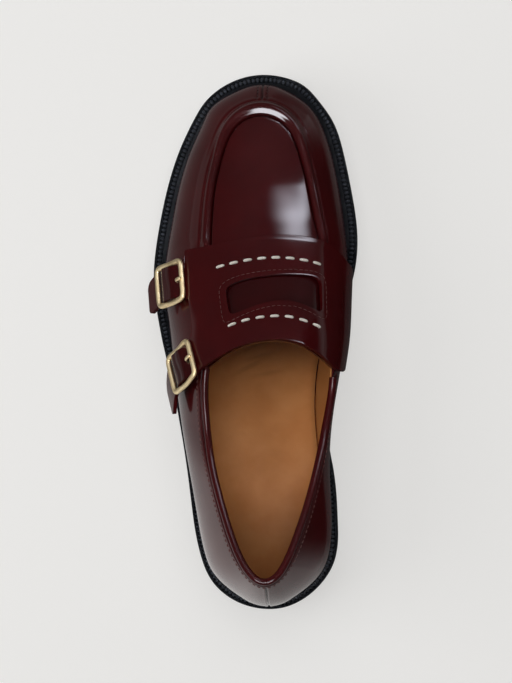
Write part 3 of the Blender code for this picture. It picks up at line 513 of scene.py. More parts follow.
def top_edge(turn):
    """Where the upper's wall ends above: the topline behind the join, the apron's seam before it."""
    outline = upper_outline
    y, side = outline.station(turn), outline.side(turn)
    along = MOUTH_HEEL + (MOUTH_END - MOUTH_HEEL) * np.clip((y - UPPER_HEEL) / (JOIN - UPPER_HEEL), 0, 1)
    across = MOUTH_HEEL_X + sided(mouth_sides, along, side) * np.sqrt(along - MOUTH_HEEL)
    angle = np.where(side < 0, turn, 2 * math.pi - turn)
    share = np.zeros_like(y)
    for sign, run in zip((-1, 1), outline.run):
        start = np.interp(JOIN, outline.station(outline.dense), run)
        part = (np.interp(angle, outline.dense, run) - start) / (run[-1] - start)
        share = np.where(side == sign, part, share)
    front = seam_point(np.clip(share, 0, 1), side)
    return np.where((y < JOIN)[:, None], np.stack([across, along], axis=-1), front)


def upper_columns(turn, distances):
    """Points of the upper's face down its wall, as a grid (rows, columns, 3).

    A column runs straight in plan from the widest line to the top edge, on the dome before the quarters
    and on a straighter wall behind; below the widest line it tucks in to the welt. `distances` gives the
    rows as lengths down from the top edge over each column's length; all columns are read off one ruler.
    """
    widest, mouth = upper_outline.plan(turn), top_edge(turn)
    y, side = widest[:, 1], upper_outline.side(turn)
    foot, top = feather(y)[:, None], widest_height(y, side)[:, None]
    below = np.linspace(0, 1, 24)
    drawn = upper_outline.outward(turn)[:, None] * (tuck(y, side)[:, None] * (1 - below) ** 2)[..., None]
    low = raised(widest[:, None] - drawn, mix(foot, top, below))
    rim = sided(mouth_height, mouth[:, 1], side)[:, None]
    part = np.linspace(0, 1, 200)[1:] ** 1.9
    plan = mix(widest[:, None], mouth[:, None], part[:, None])
    straight = mix(top, rim, part ** (1 / QUARTER_BEND))
    level = mix(dome(plan[..., 0], plan[..., 1]), straight, ramp(plan[..., 1], QUARTER_START, QUARTER_FULL))
    curve = np.concatenate([low, raised(plan, level)], axis=1)[:, ::-1]
    run = run_of(curve.swapaxes(0, 1)).T
    wanted = distances(run[:, -1])
    ruler = np.arange(len(turn))[:, None] * 1000.0
    grid = follow(curve.reshape(-1, 3), (run + ruler).ravel(), wanted + ruler)
    return grid.transpose(1, 0, 2)


def rows_down(near, count=0):
    """Rows for upper_columns: at given lengths by the top edge, then `count` more evenly down to the welt."""
    def distances(length):
        """Rows down each column from its length."""
        far = mix(near[-1], length[:, None], np.linspace(0, 1, count + 1)[1:])
        return np.concatenate([np.broadcast_to(near, (len(length), len(near))), far], axis=1)
    return distances


saddle_rear = spline(SADDLE_EDGES[0], SADDLE_EDGES[1])
saddle_front = spline(SADDLE_EDGES[0], SADDLE_EDGES[2])
lateral_edge = spline(LATERAL_EDGE[0], LATERAL_EDGE[1])


def skin(turn, y):
    """The upper's face over a turn and a station: -1 to 1 over the dome, 1 to 2 down the medial wall."""
    over = np.clip(turn, -1, 1)
    reach = upper_outline.edge(y, np.where(over < 0, -1, 1)) - axis(y)
    x = axis(y) + reach * np.abs(np.sin(over * math.pi / 2))
    top = np.stack([x, y, dome(x, y)], axis=-1)
    part = np.clip(2 - turn, 0, 1)
    edge = upper_outline.edge(y, 1)
    slope = upper_outline.edge(y + 0.5, 1) - upper_outline.edge(y - 0.5, 1)
    drawn = tuck(y, 1) * (1 - part) ** 2 / np.sqrt(1 + slope ** 2)
    low = np.stack([edge - drawn, y + slope * drawn, mix(feather(y), widest_height(y, 1), part)], axis=-1)
    return np.where((turn > 1)[..., None], low, top)


def strap_rise(turn, depth):
    """How far the saddle's lateral edge lifts off to meet its straps, less between the two."""
    return ((STRAP_LIFT - STRAP_SAG * dent(depth - STRAP_SAG_AT, STRAP_SAG_HALF))
            * ramp(turn, SADDLE_START + STRAP_LIFT_RUN, SADDLE_START))


def saddle_point(turn, depth, height):
    """A point over the instep and the skin's normal there.

    Turn goes across the saddle, depth from its rear edge to its front one, and height off the skin.
    """
    turn, depth = np.broadcast_arrays(np.asarray(turn, float), np.asarray(depth, float))

    def base(turn, depth):
        """The skin's point, with turns near the lateral edge squeezed to end on that edge."""
        edge = lateral_edge(depth)
        part = (turn - SADDLE_START) / (SLOT_LATERAL - SADDLE_START)
        here = np.where(part > 1, turn, mix(edge, SLOT_LATERAL, part))
        return skin(here, mix(saddle_rear(here), saddle_front(here), depth))
    normal = unit(np.cross(base(turn + 0.004, depth) - base(turn - 0.004, depth),
                           base(turn, depth + 0.004) - base(turn, depth - 0.004)))
    return base(turn, depth) + normal * (height + strap_rise(turn, depth))[..., None], normal


class Place:
    """The frame of one fastening: s along the strap, b across it, n away from the shoe."""

    def __init__(self, fastening):
        self.centre = np.array(fastening.centre)
        self.s = unit(fastening.along)
        across = np.array(fastening.across)
        self.b = unit(across - self.s * (across @ self.s))
        self.n = np.cross(self.s, self.b)

    def point(self, s, b, n):
        """A point of the shoe from its place in this frame."""
        s, b, n = np.broadcast_arrays(*(np.asarray(v, float) for v in (s, b, n)))
        return self.centre + self.s * s[..., None] + self.b * b[..., None] + self.n * n[..., None]

    def skin_level(self, s, b):
        """n of the upper's face under points of the strap, found by halving."""
        low, high = np.full(np.shape(s), -40.0), np.full(np.shape(s), 12.0)
        for _ in range(40):
            middle = (low + high) / 2
            x, y, z = np.moveaxis(self.point(s, b, middle), -1, 0)
            outside = (x < upper_outline.edge(y, -1)) | (z > dome(x, y))
            low, high = np.where(outside, low, middle), np.where(outside, middle, high)
        return high


STRAP_UNDER = FRAME_LIFT - BUCKLE_WIRE - GAP - STRAP_THICK / 2
STRAP_OVER = BAR_DROP + BAR_WIRE + 3 * GAP + CHAPE_THICK + STRAP_THICK / 2


def strap_level(s):
    """n of the strap's middle: under one bar, flat over the centre bar, under the other."""
    reach = np.maximum(-s, s - CASTING_SHIFT)
    return mix(STRAP_UNDER, STRAP_OVER, ramp(reach, BUCKLE_HALF_LONG, BUCKLE_HALF_LONG - STRAP_SLOPE))


def tail_bend(fastening, place, s):
    """What carries the strap's end past the buckle along b and n, kept clear of the upper's face."""
    share = np.clip((s - BUCKLE_HALF_LONG) / (fastening.tip - BUCKLE_HALF_LONG), 0, 1) ** TAIL_BEND
    sway = fastening.sway * share
    across = np.array([-STRAP_HALF, 0, STRAP_HALF])
    face = place.skin_level(np.repeat(s[:, None], 3, 1), across + sway[:, None]).max(axis=1)
    floor = np.minimum(face + 2 * GAP + STRAP_THICK / 2 - STRAP_UNDER, 0)
    return sway, np.where(share > 0, np.maximum(fastening.curl * share, floor), 0)


# ---------------------------------------------------------------- meshes

Sheet = namedtuple("Sheet", "points wrap_rows wrap_columns shade kept", defaults=(False, False, None, None))


def sheet_faces(sheet):
    """Quads of a grid; its last row or column joins the first where it wraps."""
    rows, columns = sheet.points.shape[:2]
    i, j = np.meshgrid(np.arange(rows - (not sheet.wrap_rows)), np.arange(columns - (not sheet.wrap_columns)),
                       indexing="ij")
    below, right = (i + 1) % rows, (j + 1) % columns
    quads = np.stack([i * columns + j, i * columns + right, below * columns + right, below * columns + j],
                     axis=-1)
    return quads[sheet.kept] if sheet.kept is not None else quads.reshape(-1, 4)


def solid(outer, inner, wrap_columns=False, shade=None):
    """Sheets of a closed wall between an outer and an inner grid."""
    stack = np.concatenate([outer, inner[::-1]])
    if shade is not None:
        shade = np.concatenate([shade, shade[::-1]])
    sheets = [Sheet(stack, True, wrap_columns, shade)]
    if not wrap_columns:
        sheets += [Sheet(np.stack([inner[:, 0], outer[:, 0]], axis=1)),
                   Sheet(np.stack([outer[:, -1], inner[:, -1]], axis=1))]
    return sheets


def sheet_mesh(name, sheets, material, attribute="shade"):
    """A mesh of sheets, in metres in the model's frame, with each point's shade as an attribute."""
    points, faces, shades, start = [], [], [], 0
    for sheet in sheets:
        points.append(sheet.points.reshape(-1, 3))
        faces.append(sheet_faces(sheet) + start)
        shades.append(np.ones(len(points[-1])) if sheet.shade is None else sheet.shade.ravel())
        start += len(points[-1])
    mesh = bpy.data.meshes.new(name)
    mesh.from_pydata(((np.concatenate(points) - ORIGIN) * MM).tolist(), [], np.concatenate(faces).tolist())
    values = mesh.attributes.new(attribute, "FLOAT", "POINT")
    values.data.foreach_set("value", np.concatenate(shades).astype(np.float32))
    mesh.materials.append(material)
    return mesh


def add_object(name, data):
    """A linked object at the origin."""
    made = bpy.data.objects.new(name, data)
    bpy.context.scene.collection.objects.link(made)
    return made


def add_piece(name, sheets, material, nodes=(), weld=0.002, sharp=35):
    """One piece of the shoe from its sheets, welded, on the root body, in place of its solids."""
    mesh = sheet_mesh(name, sheets, material)
    work = bmesh.new()
    work.from_mesh(mesh)
    bmesh.ops.remove_doubles(work, verts=work.verts, dist=weld * MM)
    bmesh.ops.dissolve_degenerate(work, edges=work.edges, dist=1e-9)
    bmesh.ops.delete(work, geom=[v for v in work.verts if not v.link_faces], context="VERTS")
    work.to_mesh(mesh)
    work.free()
    mesh.shade_smooth()
    mesh.set_sharp_from_angle(angle=math.radians(sharp))
    piece = add_object(name, mesh)
    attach(piece, "root")
    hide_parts(*nodes)
    return piece


def add_stack(name, rows, material, node):
    """A closed piece from rows that run round it, stacked from its underside to its top."""
    add_piece(name, [Sheet(np.stack(rows)[::-1], False, True)], material, [node])


def thicken(piece, thickness, rounding, edge_finish=None):
    """Gives a sheet its thickness about its middle and rounds its cut edges."""
    wall_modifier = piece.modifiers.new("thickness", "SOLIDIFY")
    wall_modifier.thickness = thickness * MM
    wall_modifier.offset = 0
    wall_modifier.use_even_offset = True
    if edge_finish:
        piece.data.materials.append(edge_finish)
        wall_modifier.material_offset_rim = 1
    edges = piece.modifiers.new("rounded_edges", "BEVEL")
    edges.material = 1 if edge_finish else -1
    edges.width = rounding * MM
    edges.segments = 3
    edges.limit_method = "ANGLE"
    edges.angle_limit = math.radians(50)


def tube_sheet(path, wide, high, up, sides=16, closed=False):
    """A round or oval tube along a path; closed ends shrink to a point."""
    step = np.roll(path, -1, axis=0) - np.roll(path, 1, axis=0) if closed else np.gradient(path, axis=0)
    tangent = unit(step)
    side = unit(np.cross(tangent, up))
    over = np.cross(side, tangent)
    angle = np.arange(sides)[:, None, None] * 2 * math.pi / sides
    wide, high = (np.broadcast_to(v, len(path))[:, None] for v in (wide, high))
    return Sheet(path + side * wide * np.cos(angle) + over * high * np.sin(angle), True, closed)


def smooth_path(points, count):
    """A natural spline through points, as evenly spaced ones."""
    knots = run_of(points)
    dense = np.stack([spline(knots, column)(np.linspace(0, knots[-1], 600)) for column in points.T], axis=-1)
    run = run_of(dense)
    return follow(dense, run, np.linspace(0, run[-1], count))


def stitch_sheets(path, normal, length, pitch, width, lift=0.1):
    """Grains of thread, one every pitch: rings of six points that swell from each end.

    A grain stands off by `lift` and sinks to its ends with the square of the way along.
    """
    run = run_of(path)
    count = max(int(run[-1] // pitch), 1)
    centre = (np.arange(count) + 0.5) * run[-1] / count
    middle = follow(path, run, centre)
    tangent = unit(follow(path, run, centre + length / 4) - follow(path, run, centre - length / 4))
    out = follow(normal, run, centre)
    out = unit(out - tangent * (out * tangent).sum(axis=1, keepdims=True))
    across = np.cross(tangent, out)
    along, swell = STITCH_SHAPE
    angle = (np.arange(6) * math.pi / 3)[:, None, None]
    middle, tangent, out, across = (v[:, None, None] for v in (middle, tangent, out, across))
    body = (middle + tangent * (along * length / 2)[:, None]
            + out * (lift - STITCH_SINK * width * along ** 2)[:, None]
            + (across * np.cos(angle) + out * np.sin(angle)) * (swell * width / 2)[:, None])
    return [Sheet(grain, True, False) for grain in body]


def add_stitches(name, rows, material):
    """Rows of stitches as one piece; each row is what stitch_sheets takes."""
    grains = [grain for row in rows for grain in stitch_sheets(*row)]
    add_piece(name, grains, material, weld=STITCH_WELD, sharp=180)


# ---------------------------------------------------------------- materials

def add_node(material, kind, settings=None, inputs=None):
    """Adds a node with its settings, and its inputs given as values or as the sockets they come from."""
    made = material.node_tree.nodes.new(kind)
    for key, value in (settings or {}).items():
        setattr(made, key, value)
    for key, value in (inputs or {}).items():
        if isinstance(value, bpy.types.NodeSocket):
            material.node_tree.links.new(value, made.inputs[key])
        else:
            made.inputs[key].default_value = value
    return made.outputs


def per_mm(size):
    """Scale of a pattern whose features are this many millimetres wide."""
    return 1 / (size * MM)


Finish = namedtuple("Finish", "colour face deep cloud_mm cloud roughness relief sockets")
# Real grain, tooth and plies are 0.1 to 0.4 mm wide and would not show, so none is drawn finer than 0.6 mm.
FINISHES = {       # face and deep are shares of the colour; each relief is (kind, width in mm, height in mm)
    # Box calf, aniline-dyed, plated and glazed: a dark, nearly grainless face under a glass-like top coat.
    "glazed_box_calf": Finish(
        "upper", 1, 0.72, 26, 0.8, 0.42, [("swell", 11, 0.03), ("cells", 0.8, 0.02)],
        {"Coat Weight": 1.0, "Coat Roughness": 0.09, "Coat IOR": 1.5, "Specular IOR Level": 0.08}),
    # Cut edge of the calf, dyed and burnished: a warmer red than the face, and nearly matt.
    "burnished_calf_edge": Finish(
        "upper", (1.15, 1.1, 1.0), 0.8, 4, 1.0, 0.5, [("noise", 0.6, 0.05)], {"Specular IOR Level": 0.12}),
    # The same calf pared thin and rolled over the topline: its gloss broken up by the stretch of the grain.
    "rolled_calf_binding": Finish(
        "upper", 1, 0.72, 26, 0.8, 0.42, [("cells", 0.8, 0.03)],
        {"Coat Weight": 0.6, "Coat Roughness": 0.22, "Specular IOR Level": 0.08}),
    # Vegetable-tanned calf lining: mellow tan, softly mottled, fine open grain and a dull natural sheen.
    "vegetable_tanned_lining": Finish(
        "lining", 1, (0.86, 0.79, 0.73), 19, 0.9, 0.52, [("noise", 14, 0.1), ("cells", 0.7, 0.03)],
        {"Specular IOR Level": 0.12}),
    # Welt and midsole edge, trimmed, inked black and waxed: near black with a low satin shine.
    "inked_waxed_sole_leather": Finish(
        "sole", 1, 0.6, 6, 1.0, 0.42, [("noise", 2.2, 0.05), ("noise", 0.7, 0.03)],
        {"Specular IOR Level": 0.15}),
    # Black vulcanised rubber from a spark-eroded mould: matt, with a very fine even tooth.
    "moulded_black_rubber": Finish("sole", 0.9, 0.65, 9, 1.0, 0.62, [("noise", 0.7, 0.05)], {}),
    # Zinc casting, tumbled and plated pale gold: a soft satin shine with no sharp reflections.
    "satin_pale_gold_plate": Finish(
        "metal", 1, (0.95, 0.9, 0.82), 5, 1.0, 0.42, [("noise", 2.5, 0.012)], {"Metallic": 1.0}),
    # Thick waxed cotton cord, undyed: pale cream, matt, with the twist of its plies.
    "waxed_cotton_cord": Finish(
        "cord", 1, (0.9, 0.87, 0.82), 1.6, 1.0, 0.75, [("noise", 0.7, 0.08)], {"Sheen Weight": 0.2}),
    # Bonded nylon sewing thread dyed to the leather: a shade darker, with a slight shine.
    "bonded_nylon_thread": Finish("upper", 0.6, 0.4, 2, 1.0, 0.45, [("noise", 0.6, 0.04)], {}),
    # Fine polyester thread in a dusty rose, a little lighter than the leather as a painted highlight: each
    # stitch just shows.
    "polyester_thread_with_painted_highlight": Finish(
        "thread", 1, 0.7, 2, 1.0, 0.6, [("noise", 0.6, 0.04)], {"Specular IOR Level": 0.15}),
    # Waxed black linen welt thread, painted a little grey all over as a painted sheen where it stands proud of
    # the welt.
    "waxed_linen_thread_painted_sheen": Finish("sole", 4.5, 2.8, 2, 1.0, 0.5, [("noise", 0.6, 0.05)], {}),
}


def link(material, output, socket):
    """Joins an output to a socket of the material's shader."""
    material.node_tree.links.new(output, material.node_tree.nodes["Principled BSDF"].inputs[socket])


def finish(shoe, name):
    """A Principled material whose colour clouds between two tones and darkens with the piece's shade.

    Roughness drifts about its value with the clouds, and the layers of relief lie over each other from coarse
    to fine; a swell moves the top coat too.
    """
    made = bpy.data.materials.get(name)
    if made:
        return made
    look = FINISHES[name]
    dye = np.array(getattr(shoe, look.colour))
    face, deep = ((*(dye * tone).tolist(), 1) for tone in (look.face, look.deep))
    made = bpy.data.materials.new(name)
    made.use_nodes = True
    place = add_node(made, "ShaderNodeTexCoord")["Object"]
    clouds = add_node(made, "ShaderNodeTexNoise", {}, {
        "Vector": place, "Scale": per_mm(look.cloud_mm), "Detail": 3.0, "Roughness": 0.55})["Fac"]
    spread = add_node(made, "ShaderNodeMapRange", {}, {0: clouds, 1: 0.35, 2: 0.65, 3: 0.0, 4: look.cloud})[0]
    tone = add_node(made, "ShaderNodeMix", {"data_type": "RGBA"}, {0: spread, 6: face, 7: deep})[2]
    shade = add_node(made, "ShaderNodeAttribute", {"attribute_name": "shade"})["Fac"]
    link(made, add_node(made, "ShaderNodeMix", {"data_type": "RGBA", "blend_type": "MULTIPLY"}, {
        0: 1.0, 6: tone, 7: shade})[2], "Base Color")
    link(made, add_node(made, "ShaderNodeMapRange", {}, {
        0: clouds, 1: 0.3, 2: 0.7, 3: look.roughness * 0.88, 4: look.roughness * 1.15})[0], "Roughness")
    relief = {}
    for kind, width, height in look.relief:
        pattern = {"Vector": place, "Scale": per_mm(width)}
        if kind == "cells":
            level = add_node(made, "ShaderNodeTexVoronoi", {"feature": "SMOOTH_F1"}, {
                **pattern, "Smoothness": 0.6})["Distance"]
        else:
            level = add_node(made, "ShaderNodeTexNoise", {}, {
                **pattern, "Detail": 2.0 if kind == "noise" else 0.0})["Fac"]
        relief["Normal"] = add_node(made, "ShaderNodeBump", {}, {
            "Height": level, "Distance": height * MM, "Strength": 1.0, **relief})["Normal"]
        if kind == "swell":
            link(made, relief["Normal"], "Coat Normal")
    link(made, relief["Normal"], "Normal")
    for key, value in look.sockets.items():
        made.node_tree.nodes["Principled BSDF"].inputs[key].default_value = value
    return made


# ---------------------------------------------------------------- the upper

def toe_lift(y):
    """How far the apron's front end stands up from the dome, so that it stays nearly level to its seam."""
    return LIFT_HEIGHT * (np.clip(y - LIFT_START, 0, 1.2 * LIFT_REACH) / LIFT_REACH) ** LIFT_POWER


def bells(distance, table):
    """Sum of bell curves: each row is a distance, a half width and a height."""
    return sum(height * dent(distance - at, half) for at, half, height in table)


def folds(points, table):
    """Depth of bell-shaped folds: each lies at x, y, leans, and fades across itself and to both its ends."""
    across, along = points[..., 0], points[..., 1]
    return sum(depth * dent(along - y - lean * (across - x), narrow) * dent(across - x, wide)
               for x, y, lean, narrow, wide, depth in table)


def front_share(mouth):
    """1 along the open apron, falling to 0 where its seam goes under the saddle."""
    start = np.where(mouth[..., 0] < THROAT_X, OPEN_LATERAL, OPEN_MEDIAL)
    return ramp(mouth[..., 1], start, start + OPEN_RUN)


def soft_folds(points):
    """Heights of leather drawn over a last: a slow drift, and the flex folds beside the saddle."""
    x, y, z = points[..., 0], points[..., 1], points[..., 2]
    drift = DRIFT * np.sin(x / 9.1 + y / 13.7 + 0.4) * np.sin(y / 11.3 - z / 8.3)
    return drift - folds(points, FLEX_FOLDS)


def make_upper(shoe):
    """Walls of vamp and quarters, with the apron's rim, its seam and the two closing seams, and the plug.

    The leather's height off the face is a sum: the rim's section over the distance down from the seam, the
    toe's lift, fine puckers beyond the rim, the furrows of the closing seams and the soft folds.
    """
    rim, groove = shoe.rim_height / MM, shoe.seam_depth / MM
    calf = finish(shoe, "glazed_box_calf")
    turn = upper_outline.columns(spacing=1.5, finest=0.26, fine_length=2.5)
    base = upper_columns(turn, rows_down(NEAR_ROWS, 36))
    run, normal, mouth = run_of(base), grid_normals(base, True), base[0]
    x, y = base[..., 0], base[..., 1]
    front, round_toe, lift = front_share(mouth), ramp(mouth[:, 1], *ROUND_TOE), toe_lift(mouth[:, 1])
    height = mix(spline(*RIM)(run), spline(*TOE_RIM)(run), round_toe)
    height = front * np.where(height < 0, height * groove / RIM_FOOT, height * rim * (1 + RIM_SWELL * lift))
    buried = BURIED_EDGE * (1 - front) * ramp(run, *BURIED_DOWN) * (mouth[:, 1] < JOIN)
    pucker = (PUCKER * np.sin(x * PUCKER_WAVE) * dent(run - PUCKER_AT, PUCKER_HALF)
              * dent(x - TOE_SEAM_X, PUCKER_REACH) * front * round_toe)
    toe, toe_gap = ramp(y, *TOE_CLOSING) * ramp(run, *TOE_CLOSING_DOWN), np.abs(x - TOE_SEAM_X)
    back, back_gap = ramp(y, *BACK_CLOSING) * ramp(run, *BACK_CLOSING_DOWN), np.abs(x - BACK_SEAM_X)
    closing = toe * bells(toe_gap, TOE_SEAM) + back * bells(back_gap, BACK_SEAM)
    offset = (height + lift * ramp(run, *LIFT_DOWN) - buried + pucker + closing
              + soft_folds(base) * ramp(run, *FOLDS_DOWN))
    shade = (1 - front * bells(run, SEAM_DARK) - back * bells(back_gap, BACK_DARK)
             - toe * bells(toe_gap, TOE_DARK))
    outer, inner = base + normal * offset[..., None], base - normal * UPPER_LEATHER
    inner[-1, :, 2] = outer[-1, :, 2]
    add_piece("vamp_and_quarters", solid(outer, inner, True, np.clip(shade, 0.1, 1)), calf, nodes=["upper"])

    plug, distance = plug_grid()
    face, y = dome_normal(plug), plug[..., 1]
    opening = ramp(y, *OPEN_PLUG)
    sink = (PLUG_SINK + groove) * dent(distance, PLUG_GROOVE_HALF) * opening + BURIED_PLUG * (1 - opening)
    swell = CROWN_SWELL * dent(y - CROWN_AT, CROWN_HALF)
    top = plug + face * (toe_lift(y) - sink + swell + soft_folds(plug))[..., None]
    # Painted shade on the plug where it lies under the saddle and shows through the slot; along its open seam
    # it darkens as a dark joint.
    shade = mix(0.6, 1 - 0.8 * dent(distance, 0.4), opening)
    add_piece("apron_plug", solid(top, plug - face * PLUG_LEATHER, False, shade), calf)

    ahead = base[-12, :, 1] > 0
    rows, beside = slice(len(NEAR_ROWS) - 1, -6), []
    for side in (-TOE_ROWS_APART, TOE_ROWS_APART):
        column = np.argmin(np.where(ahead, np.abs(base[-12, :, 0] - TOE_SEAM_X - side), 1e3))
        beside.append((outer[rows, column], normal[rows, column], *fine_stitch(shoe), 0.5))
    add_stitches("closing_seam_stitches", beside, finish(shoe, "bonded_nylon_thread"))


def fine_stitch(shoe):
    """Length and pitch of the sewing thread's stitches."""
    return shoe.stitch_length / MM, shoe.stitch_pitch / MM


def plug_grid():
    """The apron's plug between the two sides of its seam, bowed at its rear end to the throat's arch."""
    share = np.concatenate([np.linspace(0, 0.8, 100), np.linspace(0.8, 0.95, 40)[1:],
                            1 - 0.05 * np.linspace(1, 0, 46)[1:] ** 1.3])
    lateral, medial = seam_point(share, -1 + 0 * share), seam_point(share, 1 + 0 * share)
    width = np.maximum(np.linalg.norm(medial - lateral, axis=1), 1e-6)
    close = PLUG_EDGE[None] * (np.minimum(1, width / PLUG_NARROW) / width)[:, None]
    middle = mix(close[:, -1:], 1 - close[:, -1:], np.linspace(0, 1, 58)[None, 1:-1])
    across = np.concatenate([close, middle, 1 - close[:, ::-1]], axis=1)
    plan = mix(lateral[:, None], medial[:, None], across[..., None])
    bow = ease(1 - share / PLUG_BOW)[:, None] * (throat(plan[..., 0]) - MOUTH_END)
    plan[..., 1] += np.maximum(bow, 0)
    return raised(plan, dome(plan[..., 0], plan[..., 1])), seam_distance(plan)


def make_binding(shoe):
    """Bound topline: a rolled edge, a groove and a flat stitched band, carried round the collar."""
    turn = upper_outline.columns(spacing=1.2, finest=0.5, fine_length=6)
    y, side = upper_outline.station(turn), upper_outline.side(turn)
    kept = y < np.where(side < 0, *BINDING_ENDS)
    turn = turn[kept][np.argsort(np.where(turn > math.pi, turn - 2 * math.pi, turn)[kept])]
    down, height = BINDING
    base = upper_columns(turn, rows_down(np.maximum(down, 0)))
    guide = upper_columns(turn, rows_down(np.array([0.0, 0.8, 1.6, BAND_AT, BAND_AT + 1])))
    normal = grid_normals(guide)
    edge, flat, slope = normal[1], normal[3], unit(guide[1] - guide[0])
    out = unit(mix(edge[None], flat[None], np.clip(down / BAND_FALL, 0, 1)[:, None, None]))
    grid = base + slope[None] * np.minimum(down, 0)[:, None, None] + out * height[:, None, None]
    for end, beside in ((0, 2), (-1, -3)):         # each end is closed by a low cap
        reach = unit(grid[:, end] - grid[:, beside]).mean(axis=0) * CAP_REACH
        cap = np.stack([mix(grid[:, end].mean(axis=0), grid[:, end], share) + reach * (1 - share)
                        for share in CAP_SHARES], axis=1)
        grid = np.concatenate([cap, grid] if end == 0 else [grid, cap[:, ::-1]], axis=1)
    # Painted shade in the binding's groove.
    groove = dent(down - BINDING_GROOVE, 0.5) * (height > -1)
    shade = np.broadcast_to((1 - 0.7 * groove)[:, None], grid.shape[:2])
    add_piece("topline_binding", [Sheet(grid[::-1], True, False, shade[::-1])],
              finish(shoe, "rolled_calf_binding"))
    row = ((guide[4] + flat * BAND_LIFT)[3:-3], flat[3:-3], *fine_stitch(shoe), 0.65)
    add_stitches("binding_stitches", [row], finish(shoe, "polyester_thread_with_painted_highlight"))


def make_lining(shoe):
    """Lining of the walls and the vamp, under the leather."""
    turn = upper_outline.columns(spacing=3.0, finest=0.8, fine_length=6)
    base = upper_columns(turn, rows_down(LINING_ROWS, 18))
    outer, inner = (base - grid_normals(base, True) * depth for depth in WALL_LINING)
    tan = finish(shoe, "vegetable_tanned_lining")
    # Painted shade: the wall lining is darkened, more on the lateral side than on the medial one.
    shade = mix(*LINING_SHADE, ramp(base[..., 0], *LINING_SHADE_X))
    add_piece("wall_lining", solid(outer, inner, True, shade), tan)
    plug = plug_grid()[0][4::3, ::2]               # clear of the throat, and coarser
    outer, inner = (plug - dome_normal(plug) * depth for depth in VAMP_LINING)
    add_piece("vamp_lining", solid(outer, inner), tan)


def make_insole(shoe):
    """Sock over the insole: dished along its middle, with edges that curl up against the walls."""
    y = upper_outline.middle - (upper_outline.half - SOCK_SHORT) * np.cos(np.linspace(0, math.pi, 320))
    angle = np.arccos(np.clip((upper_outline.middle - y) / upper_outline.half, -1, 1))
    sides = []
    for sign in (1, -1):
        side = upper_outline.side(sign * np.clip(angle, 1e-3, math.pi - 1e-3))
        drawn = upper_outline.outward(sign * angle) * (tuck(y, side) + SOCK_NARROW)[:, None]
        sides.append(upper_outline.plan(sign * angle) - drawn)
    across = np.sin(np.linspace(-1, 1, 41) * math.pi / 2) * 0.5 + 0.5
    plan = mix(sides[0][:, None], sides[1][:, None], across[None, :, None])
    plan[0], plan[-1] = plan[0].mean(axis=0), plan[-1].mean(axis=0)
    y, reach = plan[..., 1], np.abs(across * 2 - 1)[None]
    level, soft = welt_top(y), folds(plan, SOCK_FOLDS)
    curl = SOCK_CURL * reach ** SOCK_CURL_POWER - SOCK_DISH * (1 - reach ** 2) * (0.4 + 0.6 * seat(y))
    top = raised(plan, level + INSOLE_THICK + curl - folds(plan, SOCK_CREASES) - soft)
    # Painted shade: the sock is darkened under the vamp and at the heel.
    dark = sum(amount * ramp(y, start, end) for start, end, amount in SOCK_PAINTED_SHADE)
    # Painted shade in the sock's folds and along its edges, where they curl up against the walls.
    shade = (1 - 0.9 * soft) * (1 - 0.25 * ramp(reach, 0.9, 1)) * (1 - dark)
    add_piece("insole_sock", solid(top, raised(plan, level + GAP), False, shade),
              finish(shoe, "vegetable_tanned_lining"), ["insole"])


# ---------------------------------------------------------------- the saddle, its straps and its stitches

def slot_bow(across, along):
    """How far each of the slot's long edges bows, over places from -1 to 1 across and along it."""
    across = np.clip(across, -1.3, 1.3)
    return sum(np.polyval(bow, across) * dent(along - edge, 0.8) for edge, bow in SLOT_BOWS)


def slot_warp(turns, depths):
    """Rounds the slot's corners: near its edge a square ring of the grid is drawn in to a superellipse."""
    place = (np.stack(np.meshgrid(turns, depths), axis=-1) - SLOT_MIDDLE) / SLOT_HALF
    ring = np.maximum(np.abs(place).max(axis=-1, keepdims=True), 1e-9)
    corner = np.maximum((np.abs(place / ring) ** SLOT_POWER).sum(axis=-1, keepdims=True), 1e-9)
    place = place * (1 + (corner ** (-1 / SLOT_POWER) - 1) * dent(ring - 1, 0.45))
    beyond = np.maximum(np.abs(place[..., 0]) - 1, 0)
    place[..., 1] += slot_bow(place[..., 0], place[..., 1]) * dent(beyond, 0.4)
    return np.moveaxis(place * SLOT_HALF + SLOT_MIDDLE, -1, 0)


